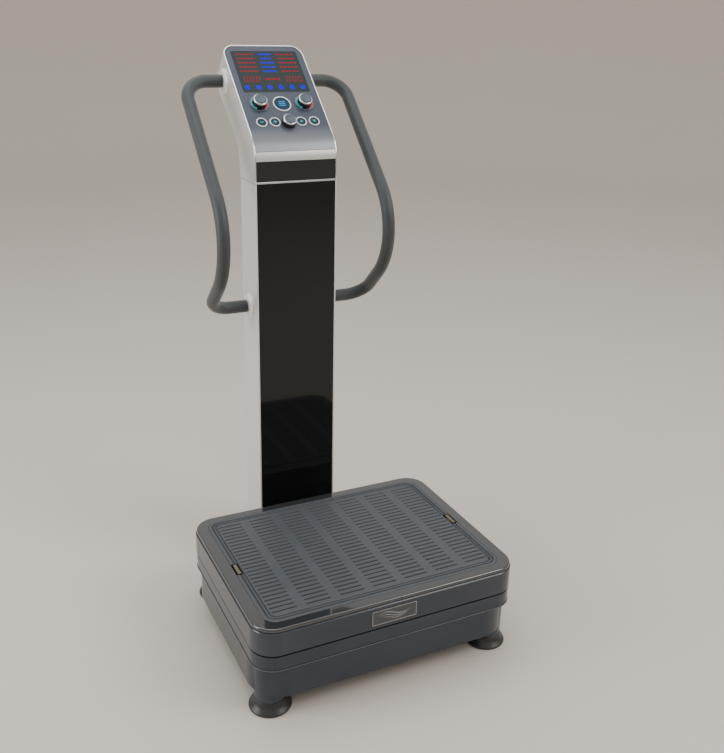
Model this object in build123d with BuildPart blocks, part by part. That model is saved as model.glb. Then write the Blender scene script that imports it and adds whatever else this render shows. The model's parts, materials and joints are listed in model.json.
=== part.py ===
from build123d import *
import math
import os

os.makedirs("parts", exist_ok=True)

# ------------------------------------------------------------------
# Vibration plate: a rocking platform on a low housing with four feet,
# a tall column behind it, a tilted console head and two bent handles.
# Millimetres. +X is the user's right, +Y points away from the user
# (towards the column), +Z is up, the floor is z = 0.
# ------------------------------------------------------------------

# overall
YB = -187.34           # y of the platform's centre in the part's frame

# platform and housing outline
W = 690.0              # width of the platform shell
D = 529.0              # depth of the platform shell
RC = 58.0              # outline corner radius
Z_TOP = 243.0          # top of the gloss rim
Z_SKIRT_TOP = 233.0    # top face of the moving shell
Z_GAP_HI = 174.8       # lower edge of the moving shell
Z_GAP_LO = 169.8       # upper edge of the fixed housing
Z_LIP = 134.0          # underside of the housing's band
Z_BODY = 53.5          # lower edge of the housing
RB = 86.0              # corner radius of the housing's wall
FRONT_FEET = [(-296.5, -205.0), (296.5, -205.0)]
REAR_FEET = [(-274.0, 272.0), (274.0, 272.0)]
MAT_W, MAT_D, MAT_R = 624.0, 472.0, 34.0

# column
COL_HW = 114.2         # half width
COL_F, COL_B = 350.0, 465.0
Z_COL = 102.0
Z_JOINT = 1116.5
JOINT_H = 5.0

# console head, side profile
R_HEAD = 100.6         # radius where the front turns back
Z_ARC = 1167.6         # where that arc starts
TILT = 43.0            # slope of the console face from horizontal
ARC_T = 90.0 - TILT
S_TOP = 306.0          # length of the straight console face
HEAD_WALL = 3.5

# handles
H_X = 228.9            # distance of the grip plane from the centre plane
H_UP = (575.5, 1358.9)
H_MID = (192.8, 981.4)
H_LOW = (410.9, 780.3)
H_RADII = [63.7, 162.2, 57.7]
R_TUBE = 12.5
R_GRIP = 17.0
R_FLANGE = 33.0

# controls on the console face: x across, s up the slope
DIAL_X, DIAL_S = 63.0, 97.5
CDIAL_S = 31.0
BTN_S = 35.0
BTN_X = (-73.0, -36.5, 36.5, 73.0)
START_S = 96.0
SCR_W, SCR_H, SCR_S = 188.0, 147.0, 211.0

# drive
MOTOR = (-120.0, 116.0)     # x, z of the rocking motor's axis
CRANK = (50.0, 136.0)       # x, z of the crank shaft's axis
R_PUL_M, R_PUL_C = 14.0, 28.0
PUL_Y0, PUL_Y1 = 6.0, 24.0
VIB = (130.0, 144.0)        # x, z of the vibration motor's axis
ROCK_Z = 150.0              # height of the rocking axis


def level(z, x=0.0, y=0.0):
    """Horizontal plane; local y is counted from the platform's centre."""
    return Plane(origin=(x, YB + y, z))


def side(x):
    """Plane facing +X; local coordinates are (y from the platform's centre, z)."""
    return Plane(origin=(x, YB, 0), x_dir=(0, 1, 0), z_dir=(1, 0, 0))


def front(y, x=0.0, z=0.0):
    """Plane facing the user; local coordinates are (x, z)."""
    return Plane(origin=(x, YB + y, z), x_dir=(1, 0, 0), z_dir=(0, -1, 0))


def rear(y, x=0.0, z=0.0):
    """Plane facing away from the user; local coordinates are (-x, z)."""
    return Plane(origin=(x, YB + y, z), x_dir=(-1, 0, 0), z_dir=(0, 1, 0))


TR = math.radians(TILT)
UX, UZ = math.cos(TR), math.sin(TR)
A_Y = COL_F + R_HEAD * (1 - math.cos(math.radians(ARC_T)))
A_Z = Z_ARC + R_HEAD * math.sin(math.radians(ARC_T))


def deck(off=0.0, x=0.0, s=0.0):
    """Plane on the console face, lifted off it by off; local (x, s)."""
    return Plane(
        origin=(x, YB + A_Y + UX * s - UZ * off, A_Z + UZ * s + UX * off),
        x_dir=(1, 0, 0),
        z_dir=(0, -UZ, UX),
    )


def arc_pt(theta, d):
    """Point of the head's front arc, d inside the surface."""
    t = math.radians(theta)
    r = R_HEAD - d
    return (COL_F + R_HEAD - r * math.cos(t), Z_ARC + r * math.sin(t))


def face_pt(s, d):
    """Point of the straight console face, d inside the surface."""
    return (A_Y + UX * s + UZ * d, A_Z + UZ * s - UX * d)


# ------------------------------------------------------------------
# Lower housing: a tray with a straight band, a lip, an upright wall set
# back under it and a round leg over each front foot.
# ------------------------------------------------------------------
corners = FRONT_FEET + REAR_FEET

with BuildPart() as lower_housing:
    with BuildSketch(level(Z_LIP)):
        RectangleRounded(W - 2, D - 2, RC - 1)
    extrude(amount=Z_GAP_LO - Z_LIP)
    with BuildSketch(level(Z_LIP - 1.0)):
        RectangleRounded(W, D, RC)
    extrude(amount=2.5)
    with BuildSketch(level(Z_BODY)):
        RectangleRounded(W - 6, D - 6, RB)
    extrude(amount=Z_LIP - Z_BODY)
    chamfer(lower_housing.faces().sort_by(Axis.Z)[0].edges(), 1.2)
    for cx, cy in FRONT_FEET:
        with BuildSketch(level(Z_LIP, cx, cy)):
            Circle(40)
        with BuildSketch(level(31, cx, cy)):
            Circle(38)
        loft()
    # inside of the tray, with a ledge for the seal under the band
    with BuildSketch(level(Z_LIP + 4)):
        RectangleRounded(W - 10, D - 10, RC - 5)
    extrude(amount=60, mode=Mode.SUBTRACT)
    with BuildSketch(level(Z_LIP - 6)):
        RectangleRounded(W - 24, D - 24, 75)
    extrude(amount=20, mode=Mode.SUBTRACT)
    with BuildSketch(level(Z_BODY + 4.5)):
        RectangleRounded(W - 14, D - 14, 82)
    extrude(amount=Z_LIP - 6 - Z_BODY - 4.5, mode=Mode.SUBTRACT)
    # rear opening for the chassis tail, and the foot bolts' holes
    with BuildSketch(level(59, 0, 255)):
        Rectangle(152, 40)
    extrude(amount=43, mode=Mode.SUBTRACT)
    for cx, cy in FRONT_FEET:
        with BuildSketch(level(30, cx, cy)):
            Circle(5.6)
        extrude(amount=40, mode=Mode.SUBTRACT)
lower_housing.part.label = "lower_housing"

# ------------------------------------------------------------------
# Rubber seal that closes the gap under the moving shell
# ------------------------------------------------------------------
with BuildPart() as base_gasket:
    with BuildSketch(level(Z_LIP + 4)):
        RectangleRounded(W - 16, D - 16, RC - 8)
        RectangleRounded(W - 22, D - 22, RC - 11, mode=Mode.SUBTRACT)
    extrude(amount=46)
base_gasket.part.label = "base_gasket"

# ------------------------------------------------------------------
# Feet: four wide rubber feet with a collar, and their bolts
# ------------------------------------------------------------------
with BuildPart() as rubber_feet:
    for cx, cy in corners:
        pl = Plane(origin=(cx, YB + cy, 0), x_dir=(1, 0, 0), z_dir=(0, -1, 0))
        with BuildSketch(pl):
            with BuildLine():
                ln1 = Line((5.6, 14), (5.6, 31))
                ln2 = Line(ln1 @ 1, (35, 31))
                ln3 = Line(ln2 @ 1, (37.5, 29.6))
                ln4 = ThreePointArc(ln3 @ 1, (39.5, 27.4), (38.2, 25))
                ln5 = Spline(ln4 @ 1, (39.5, 20.5), (43, 14.5), (47.5, 9.5), (50.2, 6.5))
                ln6 = ThreePointArc(ln5 @ 1, (51, 3.4), (48.6, 0))
                ln7 = Line(ln6 @ 1, (16, 0))
                ln8 = Line(ln7 @ 1, (16, 14))
                Line(ln8 @ 1, ln1 @ 0)
            make_face()
        revolve(axis=Axis((cx, YB + cy, 0), (0, 0, 1)))
rubber_feet.part.label = "rubber_feet"

with BuildPart() as foot_bolts:
    for cx, cy in corners:
        with BuildSketch(level(9, cx, cy)):
            RegularPolygon(8.5, 6)
        extrude(amount=5)
        with BuildSketch(level(14, cx, cy)):
            Circle(5)
        extrude(amount=59 if cy < 0 else 44)
    for cx, cy in FRONT_FEET:
        with BuildSketch(level(62, cx, cy)):
            RegularPolygon(8.5, 6)
        extrude(amount=8)
foot_bolts.part.label = "foot_bolts"

# ------------------------------------------------------------------
# Welded chassis: box tubes, plates over the front feet, a cross beam on
# two posts behind the housing for the rear feet, and a tail that carries
# the column
# ------------------------------------------------------------------
TUBE, TUBE_H, TW = 40.0, 32.0, 3.0
Z_CH = 62.0
Z_FLOOR = Z_BODY + 4.5
tube_boxes = [
    # centre x, centre y, size x, size y, long axis
    (-230, 0, TUBE, 420, "y"),
    (230, 0, TUBE, 420, "y"),
    (0, -150, 422, TUBE, "x"),
    (0, 150, 422, TUBE, "x"),
    (-50, 155, TUBE, 580, "y"),
    (50, 155, TUBE, 580, "y"),
    (0, 282, 600, 36, "x"),
]
PINS = [(sx * 230, sy * 165) for sx in (-1, 1) for sy in (-1, 1)]
with BuildPart() as chassis_frame:
    for tx, ty, sx, sy, ax in tube_boxes:
        with BuildSketch(level(Z_CH, tx, ty)):
            Rectangle(sx, sy)
        extrude(amount=TUBE_H)
    for cx, cy in FRONT_FEET:
        with BuildSketch(level(Z_FLOOR)):
            with Locations((cx, cy)):
                Circle(16)
            with Locations((230 if cx > 0 else -230, -190)):
                Rectangle(TUBE, 40)
            make_hull()
        extrude(amount=Z_CH - Z_FLOOR)
    with BuildSketch(level(Z_FLOOR)):
        with Locations((-230, 190), (230, 190)):
            Rectangle(TUBE, 40)
    extrude(amount=Z_CH - Z_FLOOR)
    for cx, cy in REAR_FEET:
        with BuildSketch(level(31, cx, cy)):
            Circle(37)
        extrude(amount=Z_BODY - 0.5 - 31)
        with BuildSketch(level(Z_BODY - 0.5, cx, 282)):
            Rectangle(52, 36)
        extrude(amount=Z_CH - Z_BODY + 0.5)
    for tx, ty, sx, sy, ax in tube_boxes:
        cut_x = sx - 2 * TW if ax == "y" else sx - 60
        cut_y = sy - 2 * TW if ax == "x" else sy + 2
        if ax == "y" and abs(tx) < 100:
            cut_y = sy - 60
        if sx == 600:
            cut_x = 470
        with BuildSketch(level(Z_CH + TW, tx, ty)):
            Rectangle(cut_x, cut_y)
        extrude(amount=TUBE_H - 2 * TW, mode=Mode.SUBTRACT)
    for cx, cy in FRONT_FEET:
        with BuildSketch(level(50, cx, cy)):
            Circle(5.6)
        extrude(amount=14, mode=Mode.SUBTRACT)
    for cx, cy in REAR_FEET:
        with BuildSketch(level(30, cx, cy)):
            Circle(5.6)
        extrude(amount=30, mode=Mode.SUBTRACT)
    # column foot plate on the tail
    with BuildSketch(level(Z_CH + TUBE_H, 0, 407.5)):
        Rectangle(2 * COL_HW, COL_B - COL_F)
        with Locations((-85, 0), (85, 0)):
            Rectangle(26, 70, mode=Mode.SUBTRACT)
    extrude(amount=8)
    # guide pins of the shaking frame
    for px, py in PINS:
        with BuildSketch(level(Z_CH + TUBE_H, px, py)):
            Circle(6)
        extrude(amount=38)
chassis_frame.part.label = "chassis_frame"

# ------------------------------------------------------------------
# Steel post inside the column with its arm into the head and the cross
# bars that carry the handles
# ------------------------------------------------------------------

with BuildPart() as column_post:
    with BuildSketch(level(Z_COL, 0, 407)):
        Rectangle(80, 50)
    extrude(amount=1098)
    with BuildSketch(level(Z_COL, 0, 407)):
        Rectangle(74, 44)
    extrude(amount=1098, mode=Mode.SUBTRACT)
    for xs in (-42.0, 40.0):
        with BuildSketch(side(xs)):
            with BuildLine():
                Polyline(
                    (386, 1140), (430, 1140), (430, 1185), (594, 1344),
                    (594, 1374), (562, 1374), (386, 1205), close=True,
                )
            make_face()
        extrude(amount=2.0)
    for hp, hw in ((H_UP, COL_HW - HEAD_WALL), (H_LOW, COL_HW - 4)):
        with BuildSketch(side(-hw)):
            with Locations(hp):
                Circle(10)
        extrude(amount=2 * hw)
column_post.part.label = "column_post"

# ------------------------------------------------------------------
# Column skins: two aluminium side profiles, a black glass front and a
# vented rear cover
# ------------------------------------------------------------------


def column_side(sx):
    with BuildPart() as prof:
        with BuildSketch(level(Z_COL)):
            with Locations((sx * (COL_HW - 2), (COL_F + COL_B) / 2)):
                Rectangle(4, COL_B - COL_F)
            with Locations((sx * (COL_HW - 9), COL_B - 2)):
                Rectangle(18, 4)
            with Locations((sx * (COL_HW - 8), COL_F + 7.5)):
                Rectangle(16, 3)
        extrude(amount=Z_JOINT - Z_COL)
        outer = prof.edges().filter_by(Axis.Z).filter_by(
            lambda e: abs(abs(e.center().X) - COL_HW) < 0.01)
        fillet(outer, 1.6)
    return prof.part


column_side_left = column_side(-1)
column_side_left.label = "column_side_left"
column_side_right = column_side(1)
column_side_right.label = "column_side_right"

with BuildPart() as column_front_panel:
    with BuildSketch(level(Z_COL, 0, COL_F + 3.5)):
        Rectangle(2 * (COL_HW - 4.3), 5)
    extrude(amount=Z_JOINT - Z_COL - 0.3)
    chamfer(column_front_panel.edges().filter_by(Axis.Z).group_by(Axis.Y)[0], 0.8)
column_front_panel.part.label = "column_front_panel"

with BuildPart() as column_rear_cover:
    with BuildSketch(level(Z_COL, 0, COL_B - 2.2)):
        Rectangle(2 * (COL_HW - 18.4), 3.2)
    extrude(amount=Z_JOINT - Z_COL - 0.3)
    with BuildSketch(rear(COL_B + 1)):
        for k in range(9):
            with Locations((0, 190 + 12 * k), (0, 980 + 12 * k)):
                SlotOverall(110, 5)
    extrude(amount=-8, mode=Mode.SUBTRACT)
column_rear_cover.part.label = "column_rear_cover"

with BuildPart() as joint_trim:
    with BuildSketch(level(Z_JOINT, 0, (COL_F + COL_B) / 2)):
        RectangleRounded(2 * COL_HW + 2, COL_B - COL_F + 2, 2.5)
        Rectangle(2 * COL_HW - 22, COL_B - COL_F - 20, mode=Mode.SUBTRACT)
    extrude(amount=JOINT_H)
    chamfer(joint_trim.faces().filter_by(Axis.Z).edges().filter_by(
        lambda e: abs(e.center().X) > COL_HW - 3 or e.center().Y < YB + COL_F + 1
        or e.center().Y > YB + COL_B - 1), 0.8)
joint_trim.part.label = "joint_trim"

# ------------------------------------------------------------------
# Console head: hollow silver shell, open at the front
# ------------------------------------------------------------------
Z_H0 = Z_JOINT + JOINT_H
TOP = face_pt(S_TOP, 0)
BACK = [
    (640.0, 1345.0), (624.0, 1324.5), (585.0, 1292.0), (541.0, 1258.0),
    (505.0, 1227.0), (485.0, 1202.0), (474.5, 1176.0), (468.0, 1148.0),
]

with BuildPart() as head_body:
    with BuildSketch(side(-COL_HW - 10)):
        with BuildLine():
            h1 = Line((COL_F, Z_H0), (COL_F, Z_ARC))
            h2 = ThreePointArc(h1 @ 1, arc_pt(ARC_T / 2, 0), arc_pt(ARC_T, 0))
            h3 = Line(h2 @ 1, TOP)
            h4 = ThreePointArc(h3 @ 1, (631.0, 1405.0), BACK[0])
            h5 = Spline(*BACK, (COL_B, Z_H0))
            Line(h5 @ 1, h1 @ 0)
        make_face()
    extrude(amount=2 * COL_HW + 20)
    with BuildSketch(deck(60)):
        with Locations((0, S_TOP + 2 - 260)):
            RectangleRounded(2 * COL_HW, 520, 38)
    extrude(amount=-420, mode=Mode.INTERSECT)

with BuildPart() as head_cavity:
    with BuildSketch(side(-COL_HW - 10)):
        with BuildLine():
            c0 = Polyline(
                (COL_F - 20, Z_H0 - 10), (COL_F - 20, Z_ARC + 12),
                (arc_pt(ARC_T, -18)), (face_pt(S_TOP - HEAD_WALL, -16)),
                (face_pt(S_TOP - HEAD_WALL, 0)),
            )
            c1 = ThreePointArc(c0 @ 1, (626.5, 1402.0), (635.6, 1346.0))
            c2 = Spline(
                c1 @ 1, (621.6, 1327.0), (582.8, 1294.8), (538.7, 1260.8),
                (502.2, 1229.4), (481.7, 1203.6), (471.0, 1176.9),
                (464.4, 1148.5), (461.4, Z_H0 - 10),
            )
            Line(c2 @ 1, c0 @ 0)
        make_face()
    extrude(amount=2 * COL_HW + 20)
    with BuildSketch(deck(80)):
        with Locations((0, S_TOP + 2 - HEAD_WALL - 270)):
            RectangleRounded(2 * (COL_HW - HEAD_WALL), 540, 38 - HEAD_WALL)
    extrude(amount=-460, mode=Mode.INTERSECT)

with BuildPart() as head_shell:
    add(head_body.part)
    add(head_cavity.part, mode=Mode.SUBTRACT)
head_shell.part.label = "head_shell"

# black band, silver lip and the console face that close the front
HX = COL_HW - HEAD_WALL - 0.3

with BuildPart() as head_band:
    with BuildSketch(level(Z_H0 + 0.2, 0, COL_F + 3.6)):
        Rectangle(2 * HX, 4.8)
    extrude(amount=50.6)
head_band.part.label = "head_band"

LIP0, LIP1 = 3.3, 16.8
with BuildPart() as head_lip:
    with BuildSketch(side(-HX)):
        with BuildLine():
            l1 = ThreePointArc(arc_pt(LIP0, -0.6), arc_pt((LIP0 + LIP1) / 2, -1.0), arc_pt(LIP1, -0.2))
            l2 = Line(l1 @ 1, arc_pt(LIP1, 6))
            l3 = ThreePointArc(l2 @ 1, arc_pt((LIP0 + LIP1) / 2, 6), arc_pt(LIP0, 6))
            Line(l3 @ 1, l1 @ 0)
        make_face()
    extrude(amount=2 * HX)
head_lip.part.label = "head_lip"

FAS_T0 = 17.5
with BuildPart() as console_fascia:
    with BuildSketch(side(-HX)):
        with BuildLine():
            f1 = ThreePointArc(arc_pt(FAS_T0, 0.6), arc_pt(32, 0.6), arc_pt(ARC_T, 0.6))
            f2 = Line(f1 @ 1, face_pt(S_TOP - HEAD_WALL - 0.6, 0.6))
            f3 = Line(f2 @ 1, face_pt(S_TOP - HEAD_WALL - 1.9, 4.6))
            f4 = Line(f3 @ 1, arc_pt(ARC_T, 4.6))
            f5 = ThreePointArc(f4 @ 1, arc_pt(32, 4.6), arc_pt(FAS_T0, 4.6))
            Line(f5 @ 1, f1 @ 0)
        make_face()
    extrude(amount=2 * HX)
    with BuildSketch(deck(30)):
        with Locations((0, S_TOP - HEAD_WALL - 0.3 - 250)):
            RectangleRounded(2 * HX, 500, 38 - HEAD_WALL - 0.3)
    extrude(amount=-260, mode=Mode.INTERSECT)
    with BuildSketch(deck(5)):
        with Locations((0, SCR_S)):
            RectangleRounded(SCR_W, SCR_H, 5)
        with Locations((-DIAL_X, DIAL_S), (DIAL_X, DIAL_S), (0, CDIAL_S)):
            Circle(5)
        with Locations((0, START_S)):
            Circle(21.6)
        with Locations(*[(x, BTN_S) for x in BTN_X]):
            Circle(12.0)
    extrude(amount=-15, mode=Mode.SUBTRACT)
console_fascia.part.label = "console_fascia"

# ------------------------------------------------------------------
# Display: smoked window with lens inserts, and the circuit board
# ------------------------------------------------------------------
ROWS = [273.5 - 15.25 * k for k in range(5)]
BAR_H = 4.2
red_bars = []
blue_bars = []
for k, s in enumerate(ROWS):
    for j in range(5):
        red_bars.append((-79.0 + j * 10.4, s, 8.6, BAR_H))
        red_bars.append((37.4 + j * 10.4, s, 8.6, BAR_H))
    blue_bars.append((0.5, s, (40.0, 30.0, 40.0, 38.0, 40.0)[k], 5.4))
# seven-segment zeros, three on each side, and a short row of marks
SEG_T, DG_W, DG_H, DG_S = 2.3, 11.0, 19.0, 184.5
segs = []
for dx in (-75.0, -58.0, -41.0, 44.0, 61.0, 78.0):
    segs.append((dx, DG_S + DG_H / 2 - SEG_T / 2, DG_W - 2 * SEG_T - 0.6, SEG_T))
    segs.append((dx, DG_S - DG_H / 2 + SEG_T / 2, DG_W - 2 * SEG_T - 0.6, SEG_T))
    for ex in (-1, 1):
        for ey in (-1, 1):
            segs.append((dx + ex * (DG_W / 2 - SEG_T / 2), DG_S + ey * DG_H / 4,
                         SEG_T, DG_H / 2 - 1.6))
for j in range(6):
    segs.append((-17.5 + j * 7.0, DG_S, 5.0, 7.0))
LEDS = [(x, 155.5) for x in (-78.3, -47.0, -15.7, 15.7, 47.0, 78.3)]


def bars_sketch(items, grow=0.0):
    for bx, bs, bw, bh in items:
        with Locations((bx, bs)):
            Rectangle(bw + grow, bh + grow)


with BuildPart() as display_window:
    with BuildSketch(deck(-1.1)):
        with Locations((0, SCR_S)):
            RectangleRounded(SCR_W - 0.5, SCR_H - 0.5, 4.8)
    extrude(amount=-3)
    with BuildSketch(deck(0)):
        bars_sketch(red_bars + blue_bars + segs, 0.1)
        with Locations(*LEDS):
            Circle(8.05)
    extrude(amount=-2.6, mode=Mode.SUBTRACT)
display_window.part.label = "display_window"

with BuildPart() as red_lenses:
    with BuildSketch(deck(-2.6)):
        bars_sketch(red_bars + segs)
    extrude(amount=1.6)
red_lenses.part.label = "red_lenses"

with BuildPart() as blue_lenses:
    with BuildSketch(deck(-2.6)):
        bars_sketch(blue_bars)
        with Locations(*LEDS):
            Circle(8.0)
    extrude(amount=1.6)
blue_lenses.part.label = "blue_lenses"

with BuildPart() as display_board:
    with BuildSketch(deck(-6)):
        with Locations((0, SCR_S)):
            Rectangle(196, 152)
    extrude(amount=-1.6)
    with BuildSketch(deck(-7.6)):
        with Locations((-50, SCR_S), (40, SCR_S + 20), (60, SCR_S - 40)):
            Rectangle(24, 18)
    extrude(amount=-4)
display_board.part.label = "display_board"

# ------------------------------------------------------------------
# Dials: bezels and lit scale rings stay, knobs turn on their stems
# ------------------------------------------------------------------
with BuildPart() as dial_bezels:
    for x in (-DIAL_X, DIAL_X):
        pl = Plane(origin=deck(0, x, DIAL_S).origin, x_dir=(1, 0, 0), z_dir=(0, -UX, -UZ))
        with BuildSketch(deck(-0.6, x, DIAL_S)):
            Circle(26.5)
            Circle(9.0, mode=Mode.SUBTRACT)
        extrude(amount=3.2)
    top_edges = dial_bezels.edges().filter_by(GeomType.CIRCLE).filter_by(
        lambda e: abs(e.radius - 26.5) < 0.01)
    chamfer(ShapeList(sorted(top_edges, key=lambda e: -(e.center() - Vector(0, YB, 0)).dot(
        Vector(0, -UZ, UX))))[0:2], 1.4)
dial_bezels.part.label = "dial_bezels"

with BuildPart() as dial_scale_rings:
    for x in (-DIAL_X, DIAL_X):
        with BuildSketch(deck(2.6, x, DIAL_S)):
            Circle(24.0)
            Circle(15.0, mode=Mode.SUBTRACT)
        extrude(amount=0.7)
dial_scale_rings.part.label = "dial_scale_rings"


def knob(x, s, r0, r1, base, height):
    """Knob body with a stem through the console face."""
    with BuildPart() as kn:
        with BuildSketch(deck(base, x, s)):
            Circle(r0)
        with BuildSketch(deck(base + height, x, s)):
            Circle(r1)
        loft()
        with BuildSketch(deck(base, x, s)):
            Circle(3.0)
        extrude(amount=-(base + 12))
        with BuildSketch(deck(base + height, x, s)):
            Circle(r1 - 1.2)
        extrude(amount=-1.5, mode=Mode.SUBTRACT)
    return kn.part


def knob_cap(x, s, r1, base, height):
    """Metal-rimmed cap let into the knob's top."""
    with BuildPart() as kc:
        with BuildSketch(deck(base + height - 1.5, x, s)):
            Circle(r1 - 1.2)
        extrude(amount=3.4)
        edges = kc.edges().filter_by(GeomType.CIRCLE)
        topmost = sorted(edges, key=lambda e: (e.center()).dot(Vector(0, -UZ, UX)))[-1]
        chamfer(topmost, 1.2)
        with BuildSketch(deck(base + height + 1.9, x, s)):
            Circle(r1 - 4.6)
        extrude(amount=-0.8, mode=Mode.SUBTRACT)
    return kc.part


KB = 3.8
left_dial = knob(-DIAL_X, DIAL_S, 18.6, 17.2, KB, 12.0)
left_dial.label = "left_dial"
left_dial_cap = knob_cap(-DIAL_X, DIAL_S, 17.2, KB, 12.0)
left_dial_cap.label = "left_dial_cap"
right_dial = knob(DIAL_X, DIAL_S, 18.6, 17.2, KB, 12.0)
right_dial.label = "right_dial"
right_dial_cap = knob_cap(DIAL_X, DIAL_S, 17.2, KB, 12.0)
right_dial_cap.label = "right_dial_cap"
centre_dial = knob(0, CDIAL_S, 18.4, 16.6, 0.3, 15.0)
centre_dial.label = "centre_dial"
centre_dial_cap = knob_cap(0, CDIAL_S, 16.6, 0.3, 15.0)
centre_dial_cap.label = "centre_dial_cap"


# ------------------------------------------------------------------
# Push buttons in their rings
# ------------------------------------------------------------------
with BuildPart() as button_rings:
    with BuildSketch(deck(-0.6, 0, START_S)):
        Circle(25.0)
        Circle(21.8, mode=Mode.SUBTRACT)
    extrude(amount=2.4)
    for x in BTN_X:
        with BuildSketch(deck(-0.6, x, BTN_S)):
            Circle(14.8)
            Circle(12.1, mode=Mode.SUBTRACT)
        extrude(amount=2.2)
button_rings.part.label = "button_rings"


def push_button(x, s, r, stem):
    with BuildPart() as pb:
        with BuildSketch(deck(1.4, x, s)):
            Circle(r)
        extrude(amount=-5.2)
        edges = pb.edges().filter_by(GeomType.CIRCLE)
        topmost = sorted(edges, key=lambda e: (e.center()).dot(Vector(0, -UZ, UX)))[-1]
        fillet(topmost, 0.9)
        with BuildSketch(deck(-3.8, x, s)):
            Circle(stem)
        extrude(amount=-3)
    return pb.part


start_button = push_button(0, START_S, 21.3, 6)
start_button.label = "start_button"
button_parts = []
for n, x in enumerate(BTN_X):
    b = push_button(x, BTN_S, 11.7, 4)
    b.label = f"button_{n + 1}"
    button_parts.append(b)

# ------------------------------------------------------------------
# Handles: bent steel tubes in foam grips, and their wall flanges
# ------------------------------------------------------------------


def handle(sx, r_out, r_in, x0):
    """Tube or sleeve along the handle's route, from x0 on the column side."""
    pts = [
        (sx * x0, YB + H_UP[0], H_UP[1]),
        (sx * H_X, YB + H_UP[0], H_UP[1]),
        (sx * H_X, YB + H_MID[0], H_MID[1]),
        (sx * H_X, YB + H_LOW[0], H_LOW[1]),
        (sx * x0, YB + H_LOW[0], H_LOW[1]),
    ]
    with BuildPart() as tube:
        with BuildLine() as route:
            FilletPolyline(*pts, radius=H_RADII)
        with BuildSketch(Plane(origin=pts[0], x_dir=(0, 1, 0), z_dir=(sx, 0, 0))):
            Circle(r_out)
            Circle(r_in, mode=Mode.SUBTRACT)
        sweep()
    return tube.part


handle_tube_left = handle(-1, R_TUBE, R_TUBE - 2.0, COL_HW)
handle_tube_left.label = "handle_tube_left"
handle_tube_right = handle(1, R_TUBE, R_TUBE - 2.0, COL_HW)
handle_tube_right.label = "handle_tube_right"
grip_left = handle(-1, R_GRIP, R_TUBE, COL_HW + 11)
grip_left.label = "grip_left"
grip_right = handle(1, R_GRIP, R_TUBE, COL_HW + 11)
grip_right.label = "grip_right"

with BuildPart() as handle_flanges:
    for sx in (-1, 1):
        for hy, hz in (H_UP, H_LOW):
            pl = Plane(origin=(sx * COL_HW, YB + hy, hz), x_dir=(sx, 0, 0), z_dir=(0, -sx, 0))
            with BuildSketch(pl):
                with BuildLine():
                    g1 = Line((0, R_TUBE), (0, R_FLANGE))
                    g2 = Line(g1 @ 1, (3.0, R_FLANGE))
                    g3 = ThreePointArc(g2 @ 1, (7.0, 29.0), (8.6, 22.0))
                    g4 = ThreePointArc(g3 @ 1, (8.9, 18.6), (9.4, R_TUBE + 3))
                    g5 = Line(g4 @ 1, (9.4, R_TUBE))
                    Line(g5 @ 1, g1 @ 0)
                make_face()
            revolve(axis=Axis((0, YB + hy, hz), (1, 0, 0)))
handle_flanges.part.label = "handle_flanges"

# ------------------------------------------------------------------
# Tail cover behind the housing, mains inlet and rocker switch
# ------------------------------------------------------------------
with BuildPart() as tail_cover:
    with BuildSketch(side(-118)):
        with BuildLine():
            Polyline((262.2, 44), (476, 44), (476, 106), (470, 112), (262.2, 112), close=True)
        make_face()
    extrude(amount=236)
    fillet(tail_cover.edges().filter_by(Axis.Z).group_by(Axis.Y)[-1], 8)
    with BuildSketch(side(-114.8)):
        with BuildLine():
            Polyline((250, 30), (472, 30), (472, 105), (468.5, 108.5), (250, 108.5), close=True)
        make_face()
    extrude(amount=229.6, mode=Mode.SUBTRACT)
    with BuildSketch(level(100, 0, (COL_F + COL_B) / 2)):
        Rectangle(2 * COL_HW + 0.8, COL_B - COL_F + 0.8)
    extrude(amount=40, mode=Mode.SUBTRACT)
    with BuildSketch(rear(480)):
        with Locations((45, 76)):
            Rectangle(28, 20.6)
        with Locations((-45, 76)):
            Rectangle(27.4, 21.4)
    extrude(amount=-12, mode=Mode.SUBTRACT)
    # saddle over the rear cross beam
    with BuildSketch(level(40, 0, 281.9)):
        Rectangle(260, 39.6)
    extrude(amount=55.6, mode=Mode.SUBTRACT)
tail_cover.part.label = "tail_cover"

INLET_X = -45.0
with BuildPart() as power_inlet:
    with BuildSketch(rear(476, INLET_X, 76)):
        RectangleRounded(48, 28, 4)
    extrude(amount=2.6)
    with BuildSketch(rear(476, INLET_X, 76)):
        Rectangle(27.6, 20.2)
    extrude(amount=-24)
    with BuildSketch(rear(478.6, INLET_X, 76)):
        RectangleRounded(24.4, 17, 2.5)
    extrude(amount=-19, mode=Mode.SUBTRACT)
    with BuildSketch(rear(459.6, INLET_X, 76)):
        with Locations((-7, -4.2), (7, -4.2), (0, -1.0)):
            Rectangle(2, 4)
    extrude(amount=9)
power_inlet.part.label = "power_inlet"

SW_X = 45.0
with BuildPart() as switch_housing:
    with BuildSketch(rear(476, SW_X, 76)):
        RectangleRounded(32, 26, 2)
    extrude(amount=2)
    with BuildSketch(rear(476, SW_X, 76)):
        Rectangle(27, 21)
    extrude(amount=-20)
    with BuildSketch(rear(478, SW_X, 76)):
        Rectangle(15, 21 - 3)
    extrude(amount=-14, mode=Mode.SUBTRACT)
switch_housing.part.label = "switch_housing"

# rocker, drawn in its upper position: turned 9 degrees about its pin
RK_A = math.radians(9)
RK = Plane(origin=(SW_X, YB + 474.0, 76), x_dir=(0, math.cos(RK_A), math.sin(RK_A)),
           z_dir=(1, 0, 0))
with BuildPart() as power_rocker:
    with BuildSketch(RK.offset(-7)):
        with BuildLine():
            Polyline((-5.5, -3.5), (3.6, -7.9), (5.2, -7.9), (3.8, 0), (5.2, 7.9), (3.6, 7.9), (-5.5, 3.5),
                     close=True)
        make_face()
    extrude(amount=14)
power_rocker.part.label = "power_rocker"

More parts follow.
